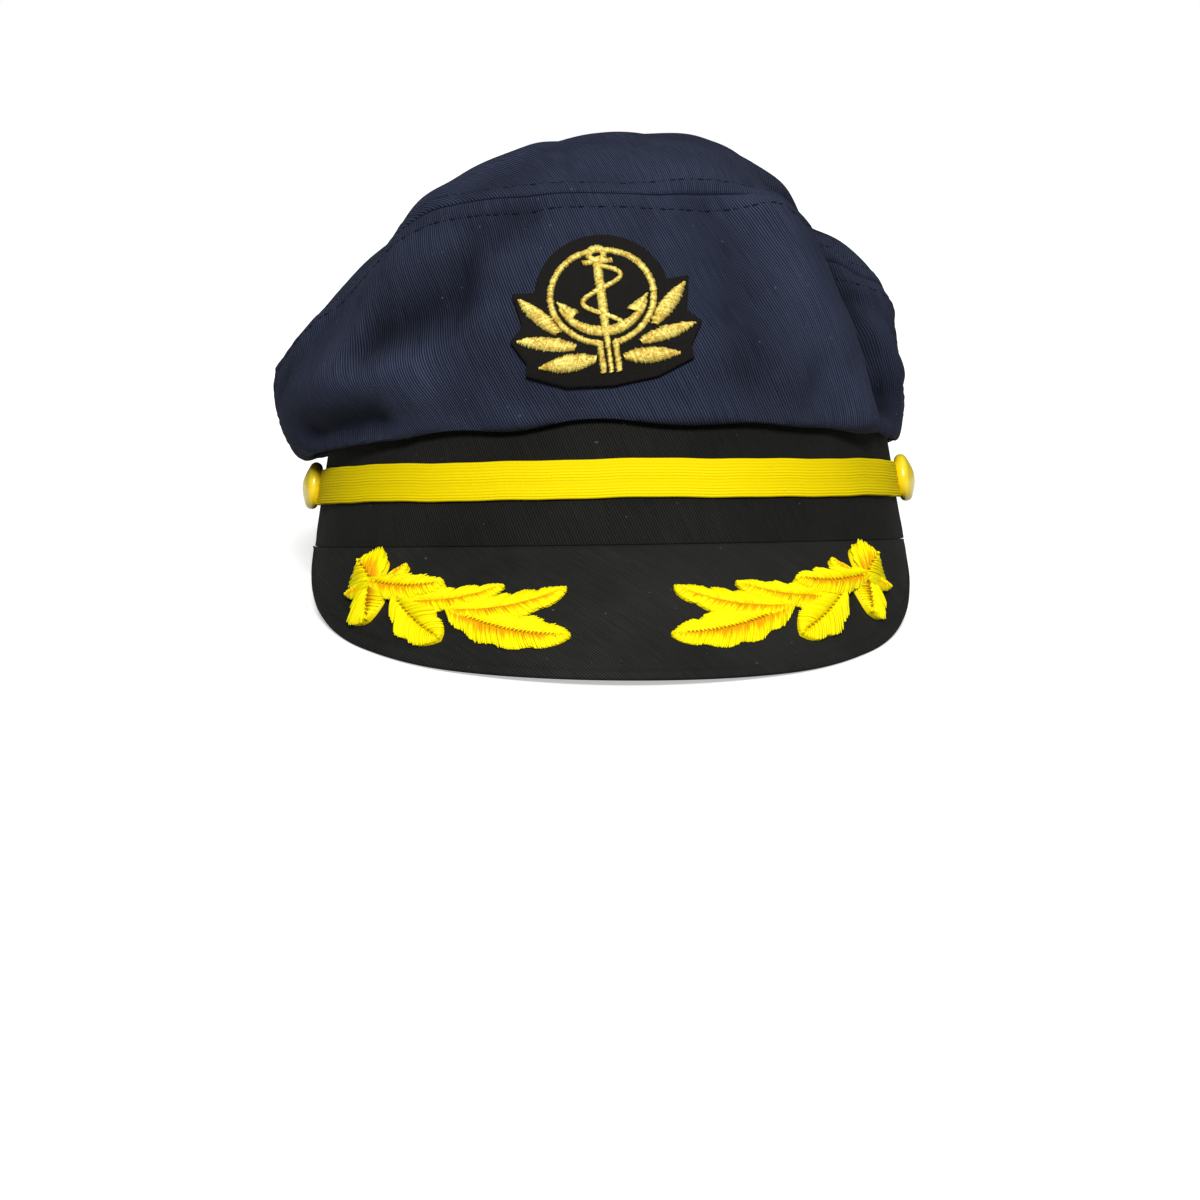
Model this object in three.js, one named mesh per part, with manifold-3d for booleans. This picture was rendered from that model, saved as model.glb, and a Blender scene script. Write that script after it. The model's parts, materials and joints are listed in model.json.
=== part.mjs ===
// A yachting captain's cap: a soft navy twill crown on a stiff black band, a black peak, a yellow
// elastic strap held by two side buttons, an embroidered anchor badge and a spray of oak leaves on
// each side of the peak. Millimetres, +Z up, the front of the cap faces -Y and +X is on the right
// of someone who looks at the front. The cap rests on a level surface as it would by itself, on the
// front edge of its peak and the back of its band.
import * as THREE from "three";
import { mergeVertices } from "three/addons/utils/BufferGeometryUtils.js";
import Module from "manifold-3d";

const wasm = await Module();
wasm.setup();

// Driving dimensions. Directions round the cap are degrees from the front, positive towards +X.
const GAP = 0.3; // between neighbouring pieces
const BAND = {
  height: 33, wall: 2.2, footWidth: 86, footLength: 103, topWidth: 80.7, topLength: 98,
};
const CLOTH = 1.2; // thickness of the crown's twill
const SIDE_SEAM = 88; // direction of the seams between the crown's front and back panels
const SIDE_SEAM_GAP = 0.2; // degrees
const LID_CENTRE = { x: 10, y: 4, up: 117.5 };
const PEAK = { end: 84, wall: 2.6, edge: 1.3, tuck: 2, arch: 1.6, turn: 1.5, lean: 1.2 };
const STRAP = { width: 10.3, thick: 1.2, up: 17, end: 88, pinch: 0.86 };
const BUTTON = { at: 84, radius: 6.9, thick: 4.1, shank: 3, stand: 0.1, rim: 1.4, dome: 1 };
const BADGE = { x: -1.1, up: 64, turn: 6, lean: 21, lift: 0.5, thick: 1.2, stitch: 0.9 };
const PATCH = { round: 17.8, middle: { x: 0, y: -5 } };
const RING = { radius: 13.1, half: 0.8, openFrom: 9, stems: 7.6 };
const ANCHOR = { eyeUp: 11.9, eye: 1.9, stockUp: 9.7, stock: 3.7, shank: 1.2, arms: 11.6, armsUp: 1.9 };
const ROPE = { half: 0.6, reach: 5.8, from: 8.6, to: -8.6, turns: 1.25 };
const SPRAY = { middle: 1.6, thick: 1 };

// The crown all the way round: how far each level stands out from the top of the band, and how
// high it is. The roll is the cloth that hangs over the band, the seam joins wall and lid, and
// midUp is the height of the lid two fifths of the way to its middle.
const CROWN = [
  { at: 0, rollOut: 5, rollUp: 31.6, bellyOut: 6.5, bellyUp: 52, seamOut: -9, seamUp: 92.5, midUp: 112 },
  { at: 30, rollOut: 5, rollUp: 31.2, bellyOut: 6, bellyUp: 54, seamOut: -8, seamUp: 93, midUp: 112 },
  { at: 46, rollOut: 5, rollUp: 30, bellyOut: 5, bellyUp: 52, seamOut: -6, seamUp: 89, midUp: 110 },
  { at: 60, rollOut: 5, rollUp: 29, bellyOut: 5, bellyUp: 46, seamOut: -7, seamUp: 79, midUp: 105 },
  { at: 74, rollOut: 5, rollUp: 28.7, bellyOut: 5.6, bellyUp: 44, seamOut: -1, seamUp: 73, midUp: 104 },
  { at: 90, rollOut: 5, rollUp: 28.5, bellyOut: 6, bellyUp: 42, seamOut: 2, seamUp: 68, midUp: 103 },
  { at: 135, rollOut: 7, rollUp: 27, bellyOut: 12, bellyUp: 42, seamOut: 8, seamUp: 62, midUp: 102 },
  { at: 180, rollOut: 7, rollUp: 27, bellyOut: 13, bellyUp: 43, seamOut: 11, seamUp: 60, midUp: 101 },
  { at: 225, rollOut: 9, rollUp: 26, bellyOut: 15, bellyUp: 42, seamOut: 13, seamUp: 56, midUp: 99 },
  { at: 270, rollOut: 11, rollUp: 26.2, bellyOut: 16.6, bellyUp: 43, seamOut: 14, seamUp: 55, midUp: 97 },
  { at: 297, rollOut: 9, rollUp: 27, bellyOut: 12.5, bellyUp: 45, seamOut: -3, seamUp: 75, midUp: 101 },
  { at: 314, rollOut: 6.5, rollUp: 28.5, bellyOut: 9.5, bellyUp: 49, seamOut: -7, seamUp: 87, midUp: 108 },
  { at: 332, rollOut: 5, rollUp: 30.5, bellyOut: 7.5, bellyUp: 52, seamOut: -8, seamUp: 92, midUp: 111 },
];

// Columns of the crown's facets: they lie closer together where the right side is folded.
const FRONT_COLUMNS = [
  { from: -SIDE_SEAM, to: 20, count: 18 },
  { from: 20, to: 76, count: 16 },
  { from: 76, to: SIDE_SEAM, count: 2 },
];
const BACK_COLUMNS = [
  { from: SIDE_SEAM + SIDE_SEAM_GAP, to: 360 - SIDE_SEAM - SIDE_SEAM_GAP, count: 24 },
];

// Folds and dents of the cloth. Each runs between two places, given as a direction and a level
// (0 band, 0.5 just over the roll, 1 lid seam, 2 middle of the lid), and stands out by rise over
// its half width.
const FOLDS = [
  { name: "right ridge", at: 36, level: 0.93, toAt: 54, toLevel: 0.5, half: 9, rise: 4 },
  { name: "right valley", at: 52, level: 1.06, toAt: 68, toLevel: 0.62, half: 8, rise: -9 },
  { name: "lid valley", at: 50, level: 1.12, toAt: 64, toLevel: 1.26, half: 8, rise: -4 },
  { name: "lid trench", at: 64, level: 1.26, toAt: 112, toLevel: 1.28, half: 12, rise: -5 },
  { name: "left dent", at: -30, level: 0.75, toAt: -46, toLevel: 0.72, half: 8.5, rise: -4.6 },
  { name: "left bulge", at: -58, level: 0.64, toAt: -35, toLevel: 0.62, half: 8, rise: 3 },
  { name: "left pocket", at: -68, level: 0.51, toAt: -46, toLevel: 0.52, half: 7, rise: -3.8 },
  { name: "left corner", at: -66, level: 0.84, toAt: -76, toLevel: 0.7, half: 8, rise: -1.8 },
  { name: "badge shade", at: -17, level: 0.93, toAt: -28, toLevel: 0.86, half: 7, rise: -2 },
  { name: "right soft fold", at: 22, level: 0.94, toAt: 28, toLevel: 0.6, half: 9, rise: -2 },
  { name: "lid hump", at: -30, level: 1.34, toAt: -48, toLevel: 1.24, half: 14, rise: 1.8 },
  { name: "left shoulder", at: -42, level: 1.1, toAt: -58, toLevel: 1.12, half: 9, rise: 1.5 },
  { name: "back tuck", at: 168, level: 1.05, toAt: 160, toLevel: 0.6, half: 12, rise: -3 },
  { name: "back left tuck", at: 212, level: 1.1, toAt: 220, toLevel: 0.62, half: 12, rise: -3 },
];

// The peak from its middle to its ends: how far it reaches out from the band and how far it drops.
const PEAK_SECTIONS = [
  { at: 0, reach: 41, drop: 32.6 },
  { at: 20, reach: 33, drop: 31.4 },
  { at: 38, reach: 20, drop: 27.4 },
  { at: 48, reach: 13.1, drop: 24.6 },
  { at: 57, reach: 8.3, drop: 21 },
  { at: 64, reach: 5.6, drop: 17.2 },
  { at: 72, reach: 3, drop: 11 },
  { at: 79, reach: 0.9, drop: 4.6 },
  { at: 84, reach: 0.3, drop: 1.5 },
];

// Corners of the badge's patch below its round top, from the middle of its ring: the right half.
const PATCH_CORNERS = [
  { x: 17, y: 3.2 },
  { x: 22.9, y: 3.8 },
  { x: 21.3, y: -6.2 },
  { x: 24.9, y: -9.7 },
  { x: 21.2, y: -16.3 },
  { x: 21.8, y: -19.3 },
  { x: 12, y: -23.4 },
  { x: 0, y: -24.6 },
];

// Laurel leaves of the badge's right half, from stem to tip, measured from the middle of its ring.
const LAURELS = [
  { name: "low", x: 3.8, y: -17, toX: 18, toY: -17.6, half: 2.1 },
  { name: "middle", x: 8.5, y: -13.5, toX: 22.8, toY: -10, half: 1.8 },
  { name: "high", x: 12.4, y: -9.2, toX: 21.2, toY: 1.7, half: 2 },
];

// Oak leaves of a spray, from stem to tip, as the cap's front shows them: how far out from the middle
// of the two sprays and how high. Half is their half width on the peak, and lobes counts one side's.
const OAK_LEAVES = [
  { x: 43, up: -16.8, toX: 11.6, toUp: -23.2, half: 6.2, lobes: 4 },
  { x: 57.5, up: -14.4, toX: 28.6, toUp: -11, half: 4.2, lobes: 4 },
  { x: 42, up: -17, toX: 12.6, toUp: -11.8, half: 5, lobes: 4 },
  { x: 57.5, up: -14, toX: 45, toUp: -24.2, half: 6, lobes: 3 },
  { x: 62, up: -10.8, toX: 54.6, toUp: -5.7, half: 2.6, lobes: 1 },
  { x: 64.6, up: -10.5, toX: 65, toUp: -19.8, half: 8, lobes: 2 },
  { x: 65, up: -11.6, toX: 71.6, toUp: -13.6, half: 2.2, lobes: 1 },
  { x: 63.6, up: -11, toX: 68.4, toUp: -4.6, half: 7.6, lobes: 2 },
  { x: 64.4, up: -10.2, toX: 44, toUp: -10.9, half: 4.2, lobes: 4 },
];
const OAK_STEM = { x: 66, up: -11.4, toX: 40, toUp: -17, half: 1.3 };

const radians = THREE.MathUtils.degToRad;
const UP = new THREE.Vector3(0, 0, 1);

// Value of a table's column between its rows: a cubic through the rows, whose slope at a row comes
// from the rows on each side. A table with a period goes round, and any other is flat at its ends.
function readTable(rows, key, column, at, period) {
  const count = rows.length;
  const row = (i) => {
    if (!period) return rows[Math.min(Math.max(i, 0), count - 1)];
    return rows[((i % count) + count) % count];
  };
  const place = (i) => row(i)[key] + (period ? Math.floor(i / count) * period : 0);
  const wanted = period ? ((at % period) + period) % period : at;
  let i = 0;
  while (i < (period ? count - 1 : count - 2) && place(i + 1) <= wanted) i += 1;
  const slope = (k) => {
    const span = place(k + 1) - place(k - 1);
    const end = !period && (k === 0 || k === count - 1);
    return end ? 0 : (row(k + 1)[column] - row(k - 1)[column]) / span;
  };
  const width = place(i + 1) - place(i);
  const t = THREE.MathUtils.clamp((wanted - place(i)) / width, 0, 1);
  const [a, b] = [row(i)[column], row(i + 1)[column]];
  const [fromSlope, toSlope] = [slope(i) * width, slope(i + 1) * width];
  const bend = (2 * t - 3) * t * t;
  return a * (1 + bend) - b * bend + (t * (1 - t) ** 2) * fromSlope - t * t * (1 - t) * toSlope;
}

// A point of the band's oval at a height, and the level direction straight out from it.
function ovalPoint(at, up, out) {
  const share = up / BAND.height;
  const halfWidth = THREE.MathUtils.lerp(BAND.footWidth, BAND.topWidth, share);
  const halfLength = THREE.MathUtils.lerp(BAND.footLength, BAND.topLength, share);
  const [s, c] = [Math.sin(radians(at)), Math.cos(radians(at))];
  const normal = new THREE.Vector3(s / halfWidth, -c / halfLength, 0).normalize();
  return new THREE.Vector3(halfWidth * s, -halfLength * c, up).addScaledVector(normal, out);
}

// The crown before its folds: level 0 to 1 climbs the wall from the band to the lid seam, and
// level 1 to 2 crosses the lid to its middle.
function crownBase(at, level) {
  const read = (column) => readTable(CROWN, "at", column, at, 360);
  const seam = { out: read("seamOut"), up: read("seamUp") };
  if (level > 1) {
    const inward = Math.min(level - 1, 1);
    const rim = ovalPoint(at, BAND.height, seam.out);
    const rise = LID_CENTRE.up - seam.up;
    const fullness = ((LID_CENTRE.up - read("midUp")) / rise / 0.36 - 1) / 0.4;
    const climb = 1 - (1 - inward) ** 2 * (1 + fullness * inward);
    return new THREE.Vector3(
      THREE.MathUtils.lerp(rim.x, LID_CENTRE.x, inward),
      THREE.MathUtils.lerp(rim.y, LID_CENTRE.y, inward),
      THREE.MathUtils.lerp(seam.up, LID_CENTRE.up, climb),
    );
  }
  const [roll, belly] = [
    { out: read("rollOut"), up: read("rollUp") },
    { out: read("bellyOut"), up: read("bellyUp") },
  ];
  const top = BAND.height + GAP;
  const profile = new THREE.SplineCurve([
    new THREE.Vector2(-BAND.wall, top),
    new THREE.Vector2(0.4, top),
    new THREE.Vector2(0.5 * roll.out + 0.6, roll.up),
    new THREE.Vector2(roll.out, roll.up + 3.5),
    new THREE.Vector2(belly.out, belly.up),
    new THREE.Vector2(0.35 * belly.out + 0.65 * seam.out + 1.2, 0.35 * belly.up + 0.65 * seam.up),
    new THREE.Vector2(seam.out, seam.up),
  ]).getPoint(level);
  return ovalPoint(at, BAND.height, profile.x).setZ(profile.y);
}

// How far the folds move the cloth out at a place. Distances are taken on the unrolled wall.
function foldRise(at, level) {
  const [perDegree, perLevel] = [1.6, 110];
  let rise = 0;
  for (const fold of FOLDS) {
    const turn = THREE.MathUtils.euclideanModulo(at - fold.at + 180, 360) - 180;
    const place = new THREE.Vector2(turn * perDegree, (level - fold.level) * perLevel);
    const along = new THREE.Vector2(
      (fold.toAt - fold.at) * perDegree,
      (fold.toLevel - fold.level) * perLevel,
    );
    const share = THREE.MathUtils.clamp(place.dot(along) / along.lengthSq(), 0, 1);
    const away = place.addScaledVector(along, -share).length() / fold.half;
    rise += fold.rise * Math.exp(-away * away);
  }
  return rise;
}

// The outward normal of a surface that takes two parameters, from points a small step apart.
function normalOf(surface, u, v, stepU, stepV) {
  const alongU = surface(u + stepU, v).sub(surface(u - stepU, v));
  const alongV = surface(u, v + stepV).sub(surface(u, v - stepV));
  return alongU.cross(alongV).normalize();
}

const NEAR_MIDDLE = 1.97; // past this level the lid's normal is taken as straight up

// The crown with its folds. A fold moves the cloth along a normal taken over a wide stretch, so
// that the wall and the lid go the same way beside their seam.
function crownSurface(at, level) {
  const rise = foldRise(at, level);
  const base = crownBase(at, level);
  if (Math.abs(rise) < 0.01) return base;
  const middle = THREE.MathUtils.clamp(level, 0.3, 1.8);
  return base.addScaledVector(normalOf(crownBase, at, middle, 3, 0.14), rise);
}

// The peak's upper face: down runs from 0 at the band to 1 at the free edge. A negative down is a
// place tucked under the band, by that many millimetres.
function peakSurface(at, down) {
  if (down < 0) return ovalPoint(at, 0, down).setZ(-GAP);
  const side = Math.min(Math.abs(at - PEAK.turn * Math.cos(radians(at))), PEAK.end);
  const reach = readTable(PEAK_SECTIONS, "at", "reach", side);
  const drop = readTable(PEAK_SECTIONS, "at", "drop", side);
  const arch = PEAK.arch * Math.sin(Math.PI * down) * (drop / PEAK_SECTIONS[0].drop);
  const place = ovalPoint(at, 0, down * reach);
  return place.setZ(arch - (drop + place.x * Math.tan(radians(PEAK.lean))) * down - GAP);
}

// A closed solid between an outer and an inner face, both functions of u and v from 0 to 1. A loop
// meets itself in u, and a pole is a last row that draws together to one point.
function sheetSolid({ outer, inner, across, along, loop = false, pole = false }) {
  const [positions, index] = [[], []];
  const columns = loop ? across : across + 1;
  const rows = pole ? along : along + 1;
  const faces = [outer, inner].map((face) => {
    const start = positions.length / 3;
    for (let j = 0; j < rows; j += 1)
      for (let i = 0; i < columns; i += 1) positions.push(...face(i / across, j / along).toArray());
    if (pole) positions.push(...face(0, 1).toArray());
    return (i, j) => start + (pole && j === along ? rows * columns : j * columns + (i % columns));
  });
  const quad = (a, b, c, d) => {
    if (a !== b && b !== c) index.push(a, b, c);
    if (a !== c && c !== d && d !== a) index.push(a, c, d);
  };
  const [out, into] = faces;
  for (let j = 0; j < along; j += 1)
    for (let i = 0; i < across; i += 1) {
      quad(out(i, j), out(i + 1, j), out(i + 1, j + 1), out(i, j + 1));
      quad(into(i, j + 1), into(i + 1, j + 1), into(i + 1, j), into(i, j));
    }
  for (let i = 0; i < across; i += 1) {
    quad(into(i, 0), into(i + 1, 0), out(i + 1, 0), out(i, 0));
    if (!pole) quad(out(i, along), out(i + 1, along), into(i + 1, along), into(i, along));
  }
  for (let j = 0; j < along && !loop; j += 1) {
    quad(into(0, j), out(0, j), out(0, j + 1), into(0, j + 1));
    quad(out(across, j), into(across, j), into(across, j + 1), out(across, j + 1));
  }
  const geometry = new THREE.BufferGeometry();
  geometry.setAttribute("position", new THREE.Float32BufferAttribute(positions, 3));
  geometry.setIndex(index);
  return geometry;
}

// Directions of a run of columns, with both ends.
function directions(stretches) {
  const starts = stretches.flatMap(({ from, to, count }) =>
    Array.from({ length: count }, (_, i) => THREE.MathUtils.lerp(from, to, i / count)));
  return [...starts, stretches.at(-1).to];
}

// A part of the crown between two levels, with the cloth's thickness and a column in each direction.
function crownPanel({ columns, bottom, top, along, loop, pole }) {
  const place = (u, v) => {
    const column = Math.round(u * (loop ? columns.length : columns.length - 1));
    return [columns[column % columns.length], THREE.MathUtils.lerp(bottom, top, v)];
  };
  const outer = (u, v) => crownSurface(...place(u, v));
  const inner = (u, v) => {
    const [at, level] = place(u, v);
    const normal = level > NEAR_MIDDLE ? UP : normalOf(crownSurface, at, Math.max(level, 0.02), 0.5, 0.02);
    return crownSurface(at, level).addScaledVector(normal, -CLOTH);
  };
  const across = loop ? columns.length : columns.length - 1;
  return sheetSolid({ outer, inner, across, along, loop, pole });
}

function makeBand() {
  const face = (out) => (u, v) => ovalPoint(u * 360, v * BAND.height, out);
  return sheetSolid({ outer: face(0), inner: face(-BAND.wall), across: 60, along: 1, loop: true });
}

// The peak's rows lie closer together towards its free edge, and the last is tucked under the band.
function makePeak() {
  const rows = 7;
  const place = (u, v) => {
    const fromEdge = (v * rows) / (rows - 1);
    return [THREE.MathUtils.lerp(-PEAK.end, PEAK.end, u), v === 1 ? -PEAK.tuck : 1 - fromEdge ** 2];
  };
  const outer = (u, v) => peakSurface(...place(u, v));
  const inner = (u, v) => {
    const [at, down] = place(u, v);
    const taper = Math.min(1, 0.35 + (PEAK.end - Math.abs(at)) / 14);
    const normal = normalOf(peakSurface, at, THREE.MathUtils.clamp(down, 0.1, 0.95), 0.5, 0.02);
    return outer(u, v).addScaledVector(normal, taper * (v === 0 ? PEAK.edge : PEAK.wall));
  };
  return sheetSolid({ outer, inner, across: 30, along: rows });
}

function makeStrap() {
  const face = (lift) => (u, v) => {
    const at = THREE.MathUtils.lerp(-STRAP.end, STRAP.end, u);
    const fromEnd = STRAP.end - Math.abs(at);
    const width = STRAP.width * Math.min(1, STRAP.pinch + fromEnd * 0.03);
    return ovalPoint(at, STRAP.up + (v - 0.5) * width, GAP + lift);
  };
  return sheetSolid({ outer: face(STRAP.thick), inner: face(0), across: 36, along: 1 });
}

// A button turned on its own axis, which points out from the band, with its foot on the strap.
function makeButton() {
  const { radius, thick, shank, stand, rim, dome } = BUTTON;
  const top = stand + thick;
  const profile = new THREE.Path();
  profile.moveTo(0, 0);
  profile.lineTo(shank, 0);
  profile.lineTo(shank, stand);
  profile.lineTo(radius - rim, stand);
  profile.absellipse(radius - rim, stand + rim, rim, rim, -Math.PI / 2, 0, false);
  profile.absellipse(0, top - dome - rim / 2, radius, dome + rim / 2, 0, Math.PI / 2, false);
  return solidGeometry(new THREE.LatheGeometry(profile.getPoints(2), 12));
}

// Geometry with positions alone and its shared corners merged.
function solidGeometry(geometry) {
  geometry.deleteAttribute("normal");
  geometry.deleteAttribute("uv");
  return mergeVertices(geometry, 1e-4);
}

function fuse(geometries) {
  const solids = geometries.map((geometry) => {
    const { position } = geometry.attributes;
    return new wasm.Manifold(new wasm.Mesh({
      numProp: 3,
      vertProperties: new Float32Array(position.array),
      triVerts: new Uint32Array(geometry.index.array),
    }));
  });
  const { vertProperties, triVerts } = solids.reduce((all, solid) => all.add(solid)).getMesh();
  const geometry = new THREE.BufferGeometry();
  geometry.setAttribute("position", new THREE.BufferAttribute(vertProperties, 3));
  geometry.setIndex(new THREE.BufferAttribute(triVerts, 1));
  return geometry;
}

// The place on a surface straight behind a point of the cap's front view, and the normal there.
function behind(surface, x, up, guess) {
  const [stepU, stepV] = [0.2, 0.004];
  let [u, v] = guess;
  for (let turn = 0; turn < 12; turn += 1) {
    const place = surface(u, v);
    const alongU = surface(u + stepU, v).sub(place).divideScalar(stepU);
    const alongV = surface(u, v + stepV).sub(place).divideScalar(stepV);
    const [missX, missUp] = [x - place.x, up - place.z];
    const scale = alongU.x * alongV.z - alongV.x * alongU.z;
    u += THREE.MathUtils.clamp((missX * alongV.z - missUp * alongV.x) / scale, -9, 9);
    v += THREE.MathUtils.clamp((alongU.x * missUp - alongU.z * missX) / scale, -0.2, 0.2);
  }
  const normal = normalOf(surface, u, v, 4 * stepU, 4 * stepV);
  return { place: surface(u, v), normal: normal.y > 0 ? normal.negate() : normal };
}

// A place of the front view, seen on the crown.
function onCrown(x, up) {
  return behind(crownSurface, x, up, [0, 0.75]);
}

// A place of the badge's own plane, seen on the crown.
function onBadgePlane(x, y) {
  const [c, s] = [Math.cos(radians(BADGE.turn)), Math.sin(radians(BADGE.turn))];
  const [across, upward] = [x * c - y * s, (x * s + y * c) * Math.cos(radians(BADGE.lean))];
  return onCrown(BADGE.x + across, BADGE.up + upward);
}

// A place of the front view, seen on the peak.
function onPeak(x, up) {
  return behind(peakSurface, x, up, [THREE.MathUtils.clamp(x, -60, 60), -up / 34]);
}

// A raised strip of stitching on a surface. The path runs on a plane whose places "on" lays on the
// surface, as "seen" does with places of the front view. Half is half the strip's width along the
// way, and its top is rounded across.
function stitched({ on, seen, path, half, lift, thick, along }) {
  const step = 0.01;
  const row = (v) => {
    const middle = path(v);
    const { place, normal } = on(middle.x, middle.y);
    const [before, after] = [path(v - step), path(v + step)];
    const ahead = on(after.x, after.y).place.sub(on(before.x, before.y).place);
    const right = ahead.cross(normal).normalize();
    return (u, height) => {
      const beside = place.clone().addScaledVector(right, (2 * u - 1) * half(v));
      const across = seen(beside.x, beside.z);
      return across.place.addScaledVector(across.normal, height);
    };
  };
  const rows = Array.from({ length: along + 1 }, (_, j) => row(j / along));
  const outer = (u, v) => rows[Math.round(v * along)](u, lift + thick * (u === 0.5 ? 1 : 0.4));
  const inner = (u, v) => rows[Math.round(v * along)](u, lift);
  return sheetSolid({ outer, inner, across: 2, along });
}

const constant = (value) => () => value;
const arc = (x, y, radius, from, to) => (t) => {
  const turn = radians(THREE.MathUtils.lerp(from, to, t));
  return new THREE.Vector2(x + radius * Math.cos(turn), y + radius * Math.sin(turn));
};
const line = (x, y, toX, toY) => (t) =>
  new THREE.Vector2(THREE.MathUtils.lerp(x, toX, t), THREE.MathUtils.lerp(y, toY, t));
const leafShape = (half, fullness = 0.8) => (t) =>
  0.2 + half * Math.sin(Math.PI * THREE.MathUtils.clamp(t, 0, 1)) ** fullness;

const PATCH_TOP = BADGE.lift + BADGE.thick;
function onBadge(path, half, along) {
  const place = { on: onBadgePlane, seen: onCrown, lift: PATCH_TOP + GAP, thick: BADGE.stitch };
  return stitched({ ...place, path, half, along });
}

// The patch's outline, once round anticlockwise from the right end of its round top.
function patchOutline() {
  const [first] = PATCH_CORNERS;
  const from = Math.atan2(first.y, first.x);
  const outline = new THREE.Path();
  outline.absarc(0, 0.6, PATCH.round - 0.6, from, Math.PI - from, false);
  for (const { x, y } of PATCH_CORNERS) outline.lineTo(-x, y);
  for (const { x, y } of PATCH_CORNERS.slice(0, -1).reverse()) outline.lineTo(x, y);
  return outline;
}

function makePatch() {
  const outline = patchOutline();
  const face = (lift) => (u, v) => {
    const rim = outline.getPointAt(u);
    const x = THREE.MathUtils.lerp(rim.x, PATCH.middle.x, v);
    const y = THREE.MathUtils.lerp(rim.y, PATCH.middle.y, v);
    const { place, normal } = onBadgePlane(x, y);
    return place.addScaledVector(normal, lift);
  };
  return sheetSolid({
    outer: face(PATCH_TOP), inner: face(BADGE.lift), across: 46, along: 3, loop: true, pole: true,
  });
}

// The badge's ring, open at the foot where its two stems go down, and the anchor inside it with its
// rope wound round the shank.
function makeAnchor() {
  const { eyeUp, eye, stockUp, stock, shank, arms, armsUp } = ANCHOR;
  const foot = RING.radius * Math.cos(radians(RING.openFrom));
  const stem = RING.radius * Math.sin(radians(RING.openFrom));
  const wound = (t) => new THREE.Vector2(
    ROPE.reach * Math.sin(2 * Math.PI * ROPE.turns * t) * (1 - 0.25 * t),
    THREE.MathUtils.lerp(ROPE.from, ROPE.to, t),
  );
  const pieces = [
    onBadge(arc(0, 0, RING.radius, -90 + RING.openFrom, 270 - RING.openFrom), constant(RING.half), 24),
    onBadge(arc(0, eyeUp, eye, -90, 262), constant(0.75), 8),
    onBadge(line(-stock, stockUp, stock, stockUp), constant(0.7), 2),
    onBadge(line(0, stockUp - 0.2, 0, armsUp - arms - 0.6), constant(shank), 3),
    onBadge(arc(0, armsUp, arms, 202, 338), (t) => 0.5 + 0.9 * Math.sin(Math.PI * t), 9),
    onBadge(wound, constant(ROPE.half), 12),
  ];
  for (const side of [-1, 1]) {
    const [tipX, tipY] = [side * arms * 0.96, armsUp - arms * 0.26];
    pieces.push(onBadge(line(side * stem, -foot + 0.4, side * stem, -foot - RING.stems), constant(0.8), 2));
    pieces.push(onBadge(line(tipX, tipY, side * arms * 0.7, armsUp - arms * 0.6), (t) => 0.2 + 1.7 * t, 2));
  }
  return fuse(pieces);
}

function makeLaurel({ x, y, toX, toY, half }, side) {
  return onBadge(line(side * x, y, side * toX, toY), leafShape(half), 6);
}

// An oak leaf's half width, which waves in and out over its lobes.
function oakShape({ half, lobes }) {
  const wave = (t) => 0.84 - 0.16 * Math.cos(2 * Math.PI * lobes * t);
  return (t) => leafShape(half, 0.55)(t) * wave(t);
}

// One spray: its leaves lie one on another, and the stem under them joins them all.
function makeSpray(side, shift) {
  const strip = ({ x, up, toX, toUp }, half, layer, along) => stitched({
    on: onPeak,
    seen: onPeak,
    path: line(SPRAY.middle + side * (x + shift), up, SPRAY.middle + side * (toX + shift), toUp),
    half,
    lift: GAP + 0.08 * layer,
    thick: SPRAY.thick,
    along,
  });
  const leaves = OAK_LEAVES.map((leaf, i) => strip(leaf, oakShape(leaf), i, Math.ceil(1.2 * leaf.lobes) + 2));
  return fuse([...leaves, strip(OAK_STEM, constant(OAK_STEM.half), 0, 5)]);
}

const cap = new THREE.Group();
function add(name, geometry, colour, roughness = 0.9, metalness = 0) {
  const material = new THREE.MeshStandardMaterial({ color: colour, roughness, metalness });
  const mesh = new THREE.Mesh(geometry, material);
  mesh.name = name;
  cap.add(mesh);
  return mesh;
}

const COLOUR = { navy: 0x1c2238, black: 0x15151a, yellow: 0xf2d512, gold: 0xd9b24a };

add("band", makeBand(), COLOUR.black);
add("peak", makePeak(), COLOUR.black);
const [frontColumns, backColumns] = [directions(FRONT_COLUMNS), directions(BACK_COLUMNS)];
const wall = { bottom: 0, top: 0.996, along: 12 };
add("crown_front", crownPanel({ columns: frontColumns, ...wall }), COLOUR.navy);
add("crown_back", crownPanel({ columns: backColumns, ...wall }), COLOUR.navy);
add("crown_top", crownPanel({
  columns: [...frontColumns, ...backColumns], bottom: 1.004, top: 2, along: 6, loop: true, pole: true,
}), COLOUR.navy);
add("strap", makeStrap(), COLOUR.yellow, 0.6);
add("badge_patch", makePatch(), COLOUR.black);
add("badge_anchor", makeAnchor(), COLOUR.gold, 0.45, 0.6);

const SIDES = [{ word: "left", side: -1, shift: 0 }, { word: "right", side: 1, shift: 2 }];
for (const { word, side, shift } of SIDES) {
  const button = add(`button_${word}`, makeButton(), COLOUR.yellow, 0.3);
  const bandFace = (at, up) => ovalPoint(at, up, 0);
  const outward = normalOf(bandFace, side * BUTTON.at, STRAP.up, 0.5, 0.5);
  button.quaternion.setFromUnitVectors(new THREE.Vector3(0, 1, 0), outward);
  button.position.copy(bandFace(side * BUTTON.at, STRAP.up));
  button.position.addScaledVector(outward, 2 * GAP + STRAP.thick);
  for (const leaf of LAURELS) {
    add(`badge_leaf_${word}_${leaf.name}`, makeLaurel(leaf, side), COLOUR.gold, 0.45, 0.6);
  }
  add(`peak_spray_${word}`, makeSpray(side, shift), COLOUR.yellow, 0.6);
}

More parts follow.
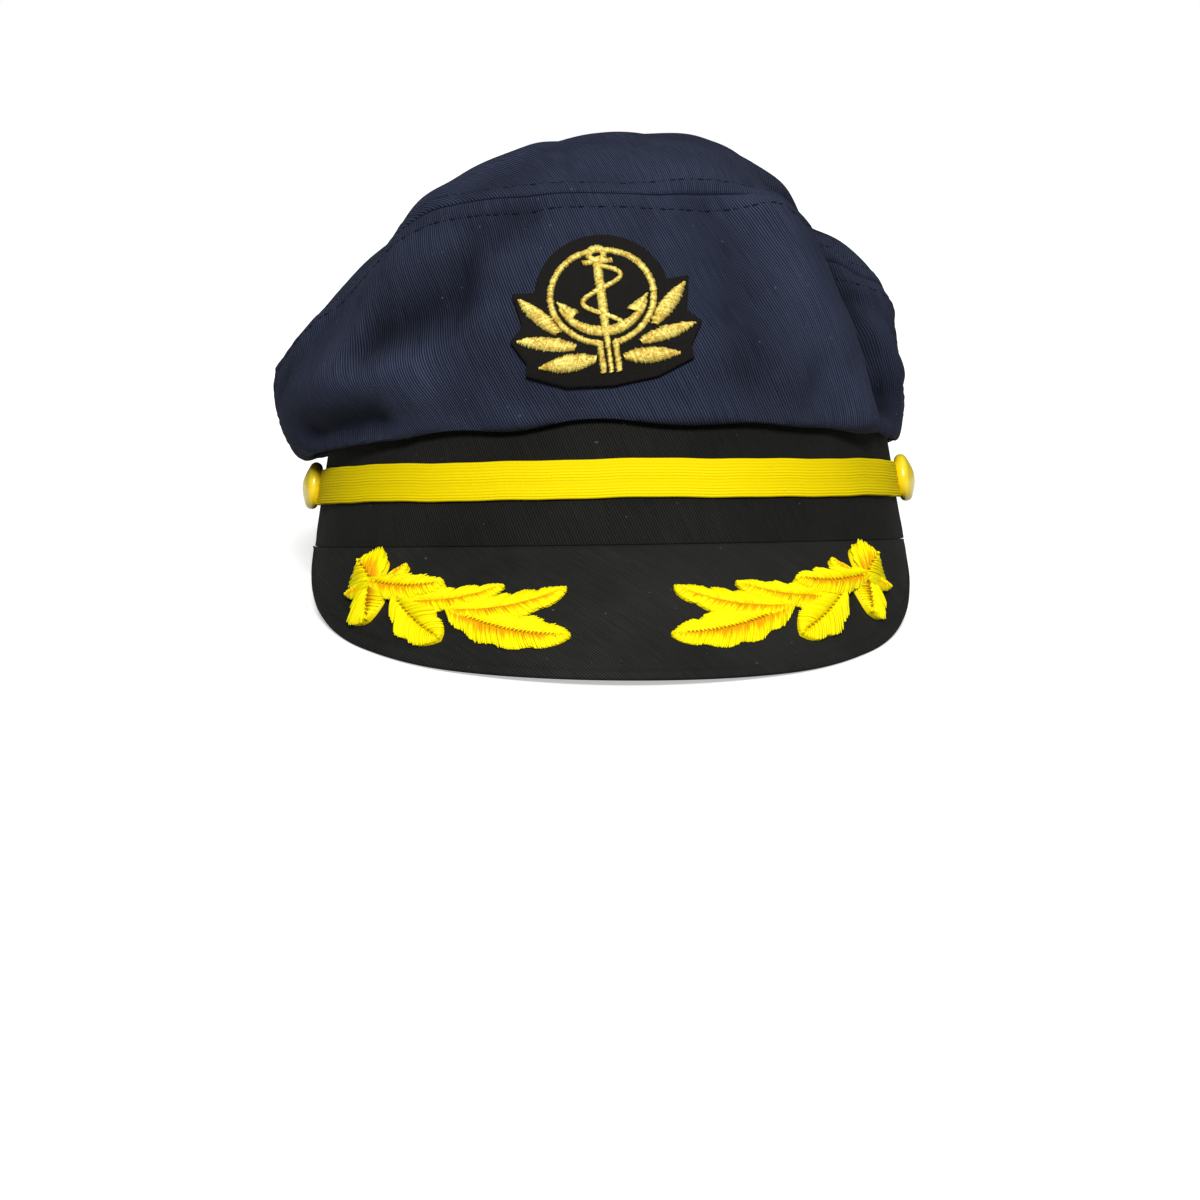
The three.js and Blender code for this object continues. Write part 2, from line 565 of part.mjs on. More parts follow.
// Turns the cap until it rests on its lowest places, two at the peak's edge and one at the back of
// the band, and moves the middle of its footprint to the origin.
function settle() {
  const places = cap.children.flatMap((mesh) => {
    mesh.updateMatrixWorld(true);
    const { position } = mesh.geometry.attributes;
    return Array.from({ length: position.count }, (_, i) =>
      new THREE.Vector3().fromBufferAttribute(position, i).applyMatrix4(mesh.matrixWorld));
  });
  const lowest = (within) => places.filter(within).reduce((low, place) => (place.z < low.z ? place : low));
  for (let turn = 0; turn < 5; turn += 1) {
    const left = lowest((place) => place.y < 0 && place.x < 0);
    const right = lowest((place) => place.y < 0 && place.x > 0);
    const back = lowest((place) => place.y > 0);
    const upward = right.clone().sub(left).cross(back.clone().sub(left)).normalize();
    const tilt = new THREE.Quaternion().setFromUnitVectors(upward, UP);
    for (const place of places) place.applyQuaternion(tilt);
    cap.quaternion.premultiply(tilt);
  }
  const box = new THREE.Box3().setFromPoints(places);
  const middle = box.getCenter(new THREE.Vector3());
  cap.position.set(-middle.x, -middle.y, -box.min.z);
}
settle();

const part = new THREE.Group();
part.add(cap);
export default part;
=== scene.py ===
# The looks of a captain's cap: twill crown, band and peak, a ribbed strap on two buttons, a gold
# badge and leaf sprays. Shapes are worked out in millimetres in the cap's own frame, whose z = 0
# is the foot of the band and whose front faces -y, and are then laid into the row frame.
import json

import bpy
import numpy as np
from mathutils import Matrix, Vector


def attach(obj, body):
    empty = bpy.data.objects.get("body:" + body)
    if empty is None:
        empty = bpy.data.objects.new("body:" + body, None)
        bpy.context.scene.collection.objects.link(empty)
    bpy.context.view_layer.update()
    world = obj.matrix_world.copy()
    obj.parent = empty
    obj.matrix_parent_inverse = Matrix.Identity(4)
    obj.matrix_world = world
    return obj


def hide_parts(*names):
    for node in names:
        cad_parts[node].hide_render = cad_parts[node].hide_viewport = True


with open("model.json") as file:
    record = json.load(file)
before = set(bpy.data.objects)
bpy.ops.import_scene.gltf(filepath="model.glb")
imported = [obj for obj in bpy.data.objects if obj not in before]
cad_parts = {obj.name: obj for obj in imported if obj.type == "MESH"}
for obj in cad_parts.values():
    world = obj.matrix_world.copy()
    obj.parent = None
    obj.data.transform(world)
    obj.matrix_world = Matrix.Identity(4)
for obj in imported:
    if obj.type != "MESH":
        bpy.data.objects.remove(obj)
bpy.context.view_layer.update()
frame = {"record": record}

# Driving dimensions, as in the part's source, in millimetres and degrees from the front.
GAP = 0.3
BAND = dict(height=33, wall=2.2, foot=(86, 103), top=(80.7, 98))
CLOTH = 1.2
SIDE_SEAM = 88
LID_CENTRE = dict(x=10, y=4, up=117.5)
PEAK = dict(end=84, wall=2.6, edge=1.3, arch=1.6, turn=1.5, lean=1.2)
STRAP = dict(width=10.3, thick=1.2, up=17, end=88, pinch=0.86)
BUTTON = dict(at=84, radius=6.9, thick=5.2, shank=3, stand=-0.95, rim=1.9)
BADGE = dict(x=-1.1, up=64, turn=6, lean=21, lift=0.5, thick=1.2)
RING = dict(radius=13.1, half=0.8, open_from=9, stems=7.6)
ANCHOR = dict(eye_up=11.9, eye=1.9, stock_up=9.7, stock=3.7, shank=1.2, arms=11.6, arms_up=1.9)
ROPE = dict(half=0.6, reach=5.8, top=8.6, foot=-8.6, turns=1.25)
SPRAY = dict(middle=1.6, thick=1)


def table(columns, *rows):
    """A row for each line, as a dict whose keys are the columns' names."""
    return [dict(zip(columns.split(), row)) for row in rows]


CROWN = table(
    "at roll belly seam mid",
    (0, (5, 31.6), (6.5, 52), (-9, 92.5), 112),
    (30, (5, 31.2), (6, 54), (-8, 93), 112),
    (46, (5, 30), (5, 52), (-6, 89), 110),
    (60, (5, 29), (5, 46), (-7, 79), 105),
    (74, (5, 28.7), (5.6, 44), (-1, 73), 104),
    (90, (5, 28.5), (6, 42), (2, 68), 103),
    (135, (7, 27), (12, 42), (8, 62), 102),
    (180, (7, 27), (13, 43), (11, 60), 101),
    (225, (9, 26), (15, 42), (13, 56), 99),
    (270, (11, 26.2), (16.6, 43), (14, 55), 97),
    (297, (9, 27), (12.5, 45), (-3, 75), 101),
    (314, (6.5, 28.5), (9.5, 49), (-7, 87), 108),
    (332, (5, 30.5), (7.5, 52), (-8, 92), 111),
)
# Each fold runs from one (direction, level) to another: 0 band, 0.5 over the roll, 1 seam, 2 middle.
FOLDS = table(
    "start end half rise",
    ((36, 0.93), (54, 0.5), 9, 4),
    ((52, 1.06), (68, 0.62), 8, -9),
    ((50, 1.12), (64, 1.26), 8, -4),
    ((64, 1.26), (112, 1.28), 12, -5),
    ((-30, 0.75), (-46, 0.72), 8.5, -4.6),
    ((-58, 0.64), (-35, 0.62), 8, 3),
    ((-68, 0.51), (-46, 0.52), 7, -3.8),
    ((-66, 0.84), (-76, 0.7), 8, -1.8),
    ((-17, 0.93), (-28, 0.86), 7, -2),
    ((22, 0.94), (28, 0.6), 9, -2),
    ((-30, 1.34), (-48, 1.24), 14, 1.8),
    ((-42, 1.1), (-58, 1.12), 9, 1.5),
    ((168, 1.05), (160, 0.6), 12, -3),
    ((212, 1.1), (220, 0.62), 12, -3),
)
# Small creases that the solids leave out.
CREASES = table(
    "start end half rise",
    ((66, 0.86), (80, 0.76), 3, -0.9),
    ((68, 0.78), (78, 0.7), 3, 0.8),
    ((64, 0.9), (84, 0.9), 3.5, 0.7),
    ((44, 0.66), (38, 0.5), 5, -0.7),
    ((-34, 0.62), (-24, 0.45), 6, -0.6),
    ((-62, 0.86), (-74, 0.7), 4, 0.8),
    ((-70, 0.84), (-80, 0.66), 4, -0.7),
    ((12, 0.96), (8, 0.84), 6, -0.7),
    ((120, 0.9), (128, 0.5), 6, -1),
    ((-120, 0.94), (-128, 0.6), 6, -1),
    ((190, 0.7), (186, 0.45), 6, 0.8),
)
PEAK_SECTIONS = table(
    "at reach drop",
    (0, 41, 32.6),
    (20, 33, 31.4),
    (38, 20, 27.4),
    (48, 13.1, 24.6),
    (57, 8.3, 21),
    (64, 5.6, 17.2),
    (72, 3, 11),
    (79, 0.9, 4.6),
    (84, 0.3, 1.5),
)
# The badge's patch below its round top, from the middle of its ring: the right half.
PATCH_CORNERS = [
    (17, 3.2), (22.9, 3.8), (21.3, -6.2), (24.9, -9.7),
    (21.2, -16.3), (21.8, -19.3), (12, -23.4), (0, -24.6),
]
PATCH_ROUND = 17.8
LAURELS = table(
    "name stem tip half",
    ("low", (3.8, -17), (18, -17.6), 2.1),
    ("middle", (8.5, -13.5), (22.8, -10), 1.8),
    ("high", (12.4, -9.2), (21.2, 1.7), 2),
)
# Oak leaves of a spray, outward from the middle of the two sprays and up, as the front shows them.
# Shade is the side of the midrib that has darker stitches, and dotted ones have a holed midrib.
OAK_LEAVES = table(
    "stem tip half lobes shade dotted",
    ((43, -16.8), (11.6, -23.2), 6.2, 4, -1, True),
    ((57.5, -14.4), (28.6, -11), 4.2, 4, -1, False),
    ((42, -17), (12.6, -11.8), 5, 4, -1, False),
    ((57.5, -14), (45, -24.2), 6, 3, 0, True),
    ((62, -10.8), (54.6, -5.7), 2.6, 1, 1, False),
    ((64.6, -10.5), (65, -19.8), 8, 2, 1, True),
    ((65, -11.6), (71.6, -13.6), 2.2, 1, 1, False),
    ((63.6, -11), (68.4, -4.6), 7.6, 2, -1, True),
    ((64.4, -10.2), (44, -10.9), 4.2, 4, -1, True),
)
SIDES = [dict(word="left", side=-1, shift=0), dict(word="right", side=1, shift=2)]


# Curves and surfaces, all of them on arrays of places.
def read_table(rows, value, at, period=None):
    """A table's value between its rows: a cubic whose slopes come from the rows on each side."""
    key = np.array([row["at"] for row in rows], float)
    values = np.array([value(row) for row in rows], float)
    at = np.asarray(at, float)
    if period:
        key = np.concatenate([key[-2:] - period, key, key[:2] + period])
        values = np.concatenate([values[-2:], values, values[:2]])
        at = np.mod(at, period)
    slope = np.zeros_like(values)
    slope[1:-1] = (values[2:] - values[:-2]) / (key[2:] - key[:-2])
    i = np.clip(np.searchsorted(key, at, side="right") - 1, 0, len(key) - 2)
    width = key[i + 1] - key[i]
    t = np.clip((at - key[i]) / width, 0, 1)
    bend = (2 * t - 3) * t * t
    ease = t * (1 - t) ** 2 * slope[i] * width - t * t * (1 - t) * slope[i + 1] * width
    return values[i] * (1 + bend) - values[i + 1] * bend + ease


def stack(*columns):
    return np.stack(np.broadcast_arrays(*columns), -1).astype(float)


def unit(v):
    return v / np.maximum(np.linalg.norm(v, axis=-1, keepdims=True), 1e-12)


def lerp(a, b, t):
    return a + (b - a) * t


def bump(distance, half):
    return np.exp(-(distance / half) ** 2)


def oval_point(at, up, out):
    """A point of the band's oval at a height, moved level and straight out from it."""
    share = np.asarray(up, float) / BAND["height"]
    half_width = lerp(BAND["foot"][0], BAND["top"][0], share)
    half_length = lerp(BAND["foot"][1], BAND["top"][1], share)
    s, c = np.sin(np.radians(at)), np.cos(np.radians(at))
    normal = unit(stack(s / half_width, -c / half_length, 0))
    return stack(half_width * s, -half_length * c, up) + normal * np.asarray(out, float)[..., None]


def through(points, t):
    """A curve through a list of points, each an array, with t from 0 to 1."""
    points = np.stack(np.broadcast_arrays(*points), 0)
    last = len(points) - 1
    place = np.clip(t, 0, 1) * last
    i = np.clip(np.floor(place).astype(int), 0, last - 1)
    w = (place - i)[..., None]

    def pick(k):
        return np.take_along_axis(points, np.clip(k, 0, last)[None, ..., None], 0)[0]

    before, a, b, after = pick(i - 1), pick(i), pick(i + 1), pick(i + 2)
    leave, arrive = (b - before) / 2, (after - a) / 2
    cubic = 2 * a - 2 * b + leave + arrive
    square = 3 * b - 3 * a - 2 * leave - arrive
    return ((cubic * w + square) * w + leave) * w + a


def crown_base(at, level):
    """The crown before its folds: level 0 to 1 climbs the wall, and 1 to 2 crosses the lid."""
    at, level = np.broadcast_arrays(np.asarray(at, float), np.asarray(level, float))

    def read(name):
        return [read_table(CROWN, lambda row: row[name][k], at, 360) for k in (0, 1)]

    roll, belly, seam = read("roll"), read("belly"), read("seam")
    top = BAND["height"] + GAP
    profile = through([
        stack(np.full(at.shape, -BAND["wall"]), top),
        stack(np.full(at.shape, 0.4), top),
        stack(0.5 * roll[0] + 0.6, roll[1]),
        stack(roll[0], roll[1] + 3.5),
        stack(*belly),
        stack(0.35 * belly[0] + 0.65 * seam[0] + 1.2, 0.35 * belly[1] + 0.65 * seam[1]),
        stack(*seam),
    ], level)
    wall = oval_point(at, BAND["height"], profile[..., 0])
    wall[..., 2] = profile[..., 1]
    inward = np.clip(level - 1, 0, 1)
    rim = oval_point(at, BAND["height"], seam[0])
    mid = read_table(CROWN, lambda row: row["mid"], at, 360)
    fullness = ((LID_CENTRE["up"] - mid) / (LID_CENTRE["up"] - seam[1]) / 0.36 - 1) / 0.4
    climb = 1 - (1 - inward) ** 2 * (1 + fullness * inward)
    lid = stack(
        lerp(rim[..., 0], LID_CENTRE["x"], inward),
        lerp(rim[..., 1], LID_CENTRE["y"], inward),
        lerp(seam[1], LID_CENTRE["up"], climb),
    )
    return np.where((level > 1)[..., None], lid, wall)


def fold_rise(folds, at, level):
    """How far folds move the cloth out. Distances are taken on the unrolled cloth."""
    per_degree, per_level = 1.6, 110
    rise = 0
    for fold in folds:
        (start_at, start_level), (end_at, end_level) = fold["start"], fold["end"]
        turn = np.mod(at - start_at + 180, 360) - 180
        place = stack(turn * per_degree, (level - start_level) * per_level)
        along = np.array([(end_at - start_at) * per_degree, (end_level - start_level) * per_level])
        share = np.clip(place @ along / (along @ along), 0, 1)
        away = np.linalg.norm(place - share[..., None] * along, axis=-1)
        rise = rise + fold["rise"] * bump(away, fold["half"])
    return rise


def normal_of(surface, u, v, step_u, step_v):
    along_u = surface(u + step_u, v) - surface(u - step_u, v)
    along_v = surface(u, v + step_v) - surface(u, v - step_v)
    return unit(np.cross(along_u, along_v))


# Soft waves of the cloth, as sums of sines in space: (wavelength, height) in millimetres.
WAVES = [(58, 0.3), (46, 0.3), (37, 0.25), (31, 0.22), (26, 0.18), (22, 0.14), (17, 0.1), (13, 0.07)]
chance = np.random.default_rng(11)
WAVE_PATHS = [
    (unit(chance.normal(size=3)) * 2 * np.pi / length, chance.uniform(0, 2 * np.pi), height)
    for length, height in WAVES for _ in range(2)
]


def ripple(places):
    return sum(height * np.sin(places @ path + phase) for path, phase, height in WAVE_PATHS)


def crown_cloth(at, level):
    """The crown with its folds, small creases and soft waves."""
    at, level = np.broadcast_arrays(np.asarray(at, float), np.asarray(level, float))
    base = crown_base(at, level)
    rise = fold_rise(FOLDS + CREASES, at, level) + ripple(base) * np.clip(level / 0.4, 0, 1)
    normal = normal_of(crown_base, at, np.clip(level, 0.3, 1.8), 3, 0.14)
    return base + normal * rise[..., None]


def peak_surface(at, down):
    """The peak's upper face, from 0 at the band to 1 at the free edge."""
    at, down = np.broadcast_arrays(np.asarray(at, float), np.asarray(down, float))
    side = np.minimum(np.abs(at - PEAK["turn"] * np.cos(np.radians(at))), PEAK["end"])
    reach = read_table(PEAK_SECTIONS, lambda row: row["reach"], side)
    drop = read_table(PEAK_SECTIONS, lambda row: row["drop"], side)
    arch = PEAK["arch"] * np.sin(np.pi * down) * (drop / PEAK_SECTIONS[0]["drop"])
    place = oval_point(at, 0, down * reach)
    lean = place[..., 0] * np.tan(np.radians(PEAK["lean"]))
    place[..., 2] = arch - (drop + lean) * down - GAP
    return place


def behind(surface, x, up, guess):
    """The place on a surface straight behind a point of the front view, and the normal there."""
    x, up = np.broadcast_arrays(np.asarray(x, float), np.asarray(up, float))
    u, v = (np.broadcast_to(g, x.shape).astype(float).copy() for g in guess)
    step_u, step_v = 0.2, 0.004
    for _ in range(9):
        place = surface(u, v)
        along_u = (surface(u + step_u, v) - place) / step_u
        along_v = (surface(u, v + step_v) - place) / step_v
        miss_x, miss_up = x - place[..., 0], up - place[..., 2]
        scale = along_u[..., 0] * along_v[..., 2] - along_v[..., 0] * along_u[..., 2]
        u += np.clip((miss_x * along_v[..., 2] - miss_up * along_v[..., 0]) / scale, -9, 9)
        v += np.clip((along_u[..., 0] * miss_up - along_u[..., 2] * miss_x) / scale, -0.2, 0.2)
    normal = normal_of(surface, u, v, 4 * step_u, 4 * step_v)
    return surface(u, v), np.where(normal[..., 1:2] > 0, -normal, normal)


# The cap's own frame in the row frame: the mount at the band's foot gives its place and tilt.
foot = next(m for m in frame["record"]["mounts"] if m["name"] == "band_foot")
cap_turn = np.array(Vector((0, 0, 1)).rotation_difference(-Vector(foot["axis"])).to_matrix())
FOOT_PLACE = np.array([0, 101.9, 0])  # the mount's place in the cap's own frame
cap_move = np.array(foot["pos_m"]) * 1000 - cap_turn @ FOOT_PLACE


def to_row(places):
    return (places @ cap_turn.T + cap_move) / 1000


# Meshes.
def grid_faces(rows, columns, loop_rows=False, loop_columns=False, flip=False):
    """Quads over a grid of places, and the places of their corners on an unrolled grid."""
    j, i = np.meshgrid(
        np.arange(rows if loop_rows else rows - 1),
        np.arange(columns if loop_columns else columns - 1), indexing="ij")
    j, i = j.ravel(), i.ravel()
    corners = [(j, i), (j, i + 1), (j + 1, i + 1), (j + 1, i)]
    if flip:
        corners = corners[::-1]
    quads = stack(*[(b % rows) * columns + a % columns for b, a in corners]).astype(int)
    return quads, corners


def path_length(places, axis=0):
    """How far along a path each of its places lies."""
    step = np.linalg.norm(np.diff(places, axis=axis), axis=-1)
    start = np.zeros_like(np.take(step, [0], axis))
    return np.concatenate([start, np.cumsum(step, axis)], axis)


class Piece:
    """A mesh gathered from grids and threads, all in the cap's own frame."""

    def __init__(self):
        self.places, self.faces, self.uv = [], [], []
        self.tone, self.chance = [], []
        self.count = 0

    def add(self, places, faces, uv, tone=0, chance=0.5):
        places = np.asarray(places, float).reshape(-1, 3)
        self.places.append(places)
        self.faces += (faces + self.count).tolist()
        self.uv.append(np.asarray(uv, float).reshape(-1, 2))
        self.tone.append(np.broadcast_to(tone, len(places)))
        self.chance.append(np.broadcast_to(chance, len(places)))
        self.count += len(places)

    def face(self, corners, uv):
        """One more face over places that are there already."""
        self.faces.append(corners.tolist())
        self.uv.append(np.asarray(uv, float))

    def grid(self, places, uv, loop_rows=False, loop_columns=False, flip=False, **more):
        rows, columns = places.shape[:2]
        quads, corners = grid_faces(rows, columns, loop_rows, loop_columns, flip)
        self.add(places, quads, np.stack([uv[b, a] for b, a in corners], 1), **more)

    def shell(self, outer, inner, uv, **more):
        """A closed sheet between two grids."""
        rows, columns = outer.shape[:2]
        start = self.count
        both = np.concatenate([uv, uv[::-1], uv[:1]])
        self.grid(np.concatenate([outer, inner[::-1]]), both, loop_rows=True, **more)
        j = np.arange(rows - 1)
        out, into = j * columns, (2 * rows - 1 - j) * columns
        first = stack(into, out, out + columns, into - columns)
        last = stack(out, into, into - columns, out + columns) + columns - 1
        for quads, column in ((first, 0), (last, columns - 1)):
            self.faces += (quads.astype(int) + start).tolist()
            corner = np.stack([uv[j, column], uv[j, column], uv[j + 1, column], uv[j + 1, column]], 1)
            self.uv.append(corner.reshape(-1, 2))

    def threads(self, paths, normals, radius, tone=0, sides=5, ends=0.55, seed=0):
        """Round threads along paths, an array of (thread, step, 3)."""
        count, steps = paths.shape[:2]
        along = unit(np.gradient(paths, axis=1))
        right = unit(np.cross(along, normals))
        out = np.cross(right, along)
        turn = 2 * np.pi * np.arange(sides) / sides
        ring = right[..., None, :] * np.cos(turn)[:, None] + out[..., None, :] * np.sin(turn)[:, None]
        taper = np.ones(steps)
        taper[[0, -1]] = ends
        places = paths[..., None, :] + ring * (radius * taper)[:, None, None]
        quads, _ = grid_faces(steps, sides, loop_columns=True, flip=True)
        each = steps * sides
        first = (np.arange(count) * each)[:, None]
        faces = (quads[None] + first[..., None]).reshape(-1, 4)
        around = np.tile(np.arange(sides) / sides, count * steps)
        flat = stack(np.repeat(path_length(paths, 1), sides), around)
        tones = np.repeat(np.broadcast_to(tone, (count, steps)), sides)
        draws = np.repeat(np.random.default_rng(seed).uniform(0, 1, count), each)
        start = self.count
        self.add(places, faces, flat[faces], tone=tones, chance=draws)
        for cap in (np.arange(sides), np.arange(sides)[::-1] + each - sides):
            self.faces += (cap + first + start).tolist()
            self.uv.append(flat[cap + first].reshape(-1, 2))

    def build(self, name, material, slot, *nodes, sharp=45):
        mesh = bpy.data.meshes.new(name)
        mesh.from_pydata(to_row(np.concatenate(self.places)), [], self.faces)
        layer = mesh.uv_layers.new(name="weave")
        layer.data.foreach_set("uv", np.concatenate(self.uv).astype(np.float32).ravel())
        for key, values in (("tone", self.tone), ("chance", self.chance)):
            attribute = mesh.attributes.new(key, "FLOAT", "POINT")
            attribute.data.foreach_set("value", np.concatenate(values).astype(np.float32))
        mesh.polygons.foreach_set("use_smooth", np.ones(len(mesh.polygons), bool))
        mesh.set_sharp_from_angle(angle=np.radians(sharp))
        mesh.materials.append(material)
        mesh.update()
        piece = bpy.data.objects.new(name, mesh)
        bpy.context.scene.collection.objects.link(piece)
        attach(piece, "root")
        if nodes:
            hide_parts(*nodes)
        return piece


def grid_normals(places, loop_columns=False):
    """Outward normals of a grid of places, from its neighbours."""
    along = np.gradient(places, axis=1)
    if loop_columns:
        along = np.roll(places, -1, 1) - np.roll(places, 1, 1)
    return unit(np.cross(along, np.gradient(places, axis=0)))


# Materials.
def colour(red, green, blue):
    """A colour of 0 to 255 as the eye sees it, in the numbers that a shader takes."""
    seen = np.array([red, green, blue]) / 255
    linear = np.where(seen <= 0.04045, seen / 12.92, ((seen + 0.055) / 1.055) ** 2.4)
    return (*linear.tolist(), 1)


class Finish:
    """A material, whose methods each add one node and give its output."""

    def __init__(self, name, **constants):
        self.material = bpy.data.materials.new(name)
        self.material.use_nodes = True
        self.nodes, self.links = self.material.node_tree.nodes, self.material.node_tree.links
        self.shader = self.nodes["Principled BSDF"]
        for key, value in constants.items():
            self.shader.inputs[key.replace("_", " ").title().replace("Ior", "IOR")].default_value = value

    def put(self, socket, value):
        if isinstance(value, bpy.types.NodeSocket):
            self.links.new(value, socket)
        else:
            socket.default_value = value

    def math(self, operation, a, b=0.0, c=0.0, clamp=False):
        node = self.nodes.new("ShaderNodeMath")
        node.operation, node.use_clamp = operation, clamp
        for socket, value in zip(node.inputs, (a, b, c)):
            self.put(socket, value)
        return node.outputs[0]

    def linear(self, value, slope, start, clamp=False):
        return self.math("MULTIPLY_ADD", value, slope, start, clamp)

    def sine(self, turns):
        return self.math("SINE", self.math("MULTIPLY", turns, 2 * np.pi))

    def mix(self, share, a, b, blend="MIX"):
        node = self.nodes.new("ShaderNodeMix")
        node.data_type, node.blend_type = "RGBA", blend
        factor, first, second = 0, 6, 7
        for socket, value in zip((factor, first, second), (share, a, b)):
            self.put(node.inputs[socket], value)
        return node.outputs[2]

    def span(self, value, low, high, to_low=0.0, to_high=1.0):
        node = self.nodes.new("ShaderNodeMapRange")
        for socket, number in zip(node.inputs, (value, low, high, to_low, to_high)):
            self.put(socket, number)
        return node.outputs[0]

    def noise(self, vector, scale, detail=2.0, roughness=0.5):
        node = self.nodes.new("ShaderNodeTexNoise")
        self.put(node.inputs["Vector"], vector)
        self.put(node.inputs["Scale"], scale)
        self.put(node.inputs["Detail"], detail)
        self.put(node.inputs["Roughness"], roughness)
        return node.outputs["Fac"]

    def place(self):
        return self.nodes.new("ShaderNodeTexCoord").outputs["Object"]

    def weave(self):
        node = self.nodes.new("ShaderNodeUVMap")
        node.uv_map = "weave"
        return node.outputs[0]

    def split(self, vector):
        node = self.nodes.new("ShaderNodeSeparateXYZ")
        self.put(node.inputs[0], vector)
        return node.outputs[0], node.outputs[1]

    def vector(self, x, y, z=0.0):
        node = self.nodes.new("ShaderNodeCombineXYZ")
        for socket, value in zip(node.inputs, (x, y, z)):
            self.put(socket, value)
        return node.outputs[0]

    def attribute(self, name):
        node = self.nodes.new("ShaderNodeAttribute")
        node.attribute_name = name
        return node.outputs["Fac"]

    def bump(self, height, depth, strength=1.0):
        node = self.nodes.new("ShaderNodeBump")
        node.inputs["Strength"].default_value = strength
        node.inputs["Distance"].default_value = depth
        self.put(node.inputs["Height"], height)
        return node.outputs[0]

    def finish(self, base, normal=None, roughness=None):
        self.put(self.shader.inputs["Base Color"], base)
        if normal is not None:
            self.put(self.shader.inputs["Normal"], normal)
        if roughness is not None:
            self.put(self.shader.inputs["Roughness"], roughness)
        return self.material


# Where a twill's yarns cross under each other: how far apart, and how far on in the next wale.
CROSSING = dict(pitch=0.62, stagger=0.37)
# Shade painted into the crown's folds to come closer to the photo's contrast. It is no property
# of the cloth: full is the depth in millimetres that gets all of it, and ridge its value there.
FOLD_SHADE = dict(strength=0.6, full=4.5, ridge=-0.35)


def twill(name, light, dark, pitch, slope, cloudy=0.25, depth=0.00012):
    """Cotton twill: wales that run down to the right at a slope, made of yarns a pitch apart. The
    piece's tone darkens it where a shade is painted in."""
    m = Finish(name, roughness=0.9, specular_ior_level=0.08)
    x, y = m.split(m.weave())
    s, c = float(np.sin(np.radians(slope))), float(np.cos(np.radians(slope)))
    drift = m.noise(m.place(), 160.0, 2.0)
    wander = m.linear(drift, 0.3, -0.15)
    across = m.linear(x, s / pitch, m.linear(y, c / pitch, wander))
    along = m.linear(x, -c, m.math("MULTIPLY", y, s))
    wave = m.sine(across)
    step = m.math("MULTIPLY", m.math("FLOOR", across), CROSSING["stagger"])
    crossing = m.sine(m.linear(along, 1 / CROSSING["pitch"], step))
    rib = m.linear(wave, 0.5, m.linear(crossing, 0.14, 0.5))
    fuzz = m.noise(m.place(), 5200.0, 2.0, 0.7)
    yarn = m.noise(m.vector(across, m.math("MULTIPLY", along, 0.08)), 1.0, 1.0)
    cloud = m.noise(m.place(), 26.0, 4.0, 0.6)
    share = m.linear(yarn, 0.5, m.linear(rib, 0.75, -0.2))
    share = m.math("ADD", share, m.linear(fuzz, 0.4, -0.2), clamp=True)
    base = m.mix(share, dark, light)
    tint = m.span(cloud, 0.3, 0.7, 1 - cloudy, 1 + cloudy)
    tint = m.linear(m.attribute("tone"), -FOLD_SHADE["strength"], tint)
    base = m.mix(1.0, base, m.vector(tint, tint, tint), "MULTIPLY")
    lint = m.span(m.noise(m.place(), 900.0, 0.0), 0.85, 0.88)
    base = m.mix(m.math("MULTIPLY", lint, 0.3), base, colour(120, 122, 130))
    height = m.linear(fuzz, 0.35, rib)
    return m.finish(base, m.bump(height, depth, 0.9))


def felt():
    m = Finish("black_felt", roughness=0.95, specular_ior_level=0.05)
    fuzz = m.noise(m.place(), 2600.0, 3.0, 0.7)
    mat = m.noise(m.place(), 700.0, 2.0)
    base = m.mix(fuzz, colour(12, 12, 12), colour(40, 38, 35))
    return m.finish(base, m.bump(m.linear(mat, 0.6, fuzz), 0.00025, 0.8))


def thread_bump(m, depth, twist=0.55):
    """The slanting ply of a twisted thread."""
    run, turn = m.split(m.weave())
    return m.bump(m.sine(m.linear(run, 1 / twist, turn)), depth, 0.6)


# Dark navy thread, for the crown's stitches and also for the painted shade laid in its lid seam.
def dyed_thread_and_seam_shade():
    m = Finish("dark_thread", roughness=0.8, specular_ior_level=0.1)
    base = m.mix(m.attribute("chance"), colour(8, 10, 20), colour(20, 22, 40))
    return m.finish(base, thread_bump(m, 0.00003))


def yellow_thread():
    m = Finish("yellow_thread", roughness=0.55, specular_ior_level=0.1)
    tone, draw = m.attribute("tone"), m.attribute("chance")
    base = m.mix(draw, colour(250, 228, 0), colour(255, 248, 4))
    base = m.mix(m.math("MULTIPLY", tone, 1.0, clamp=True), base, colour(240, 168, 4))
    base = m.mix(m.math("SUBTRACT", tone, 1.0, clamp=True), base, colour(196, 128, 6))
    return m.finish(base, thread_bump(m, 0.00003))


def gold_thread():
    m = Finish("gold_thread", metallic=0.3, roughness=0.34)
    draw, tone = m.attribute("chance"), m.attribute("tone")
    glint = m.noise(m.place(), 1100.0, 3.0, 0.75)
    bright = m.linear(draw, 0.5, -0.25)
    share = m.math("ADD", m.span(glint, 0.38, 0.6), bright, clamp=True)
    base = m.mix(share, colour(200, 154, 26), colour(255, 244, 136))
    base = m.mix(m.math("MULTIPLY", tone, 0.7), base, colour(150, 104, 10))
    return m.finish(base, thread_bump(m, 0.00004), m.span(glint, 0.3, 0.7, 0.5, 0.22))


KNIT_PITCH = 0.7


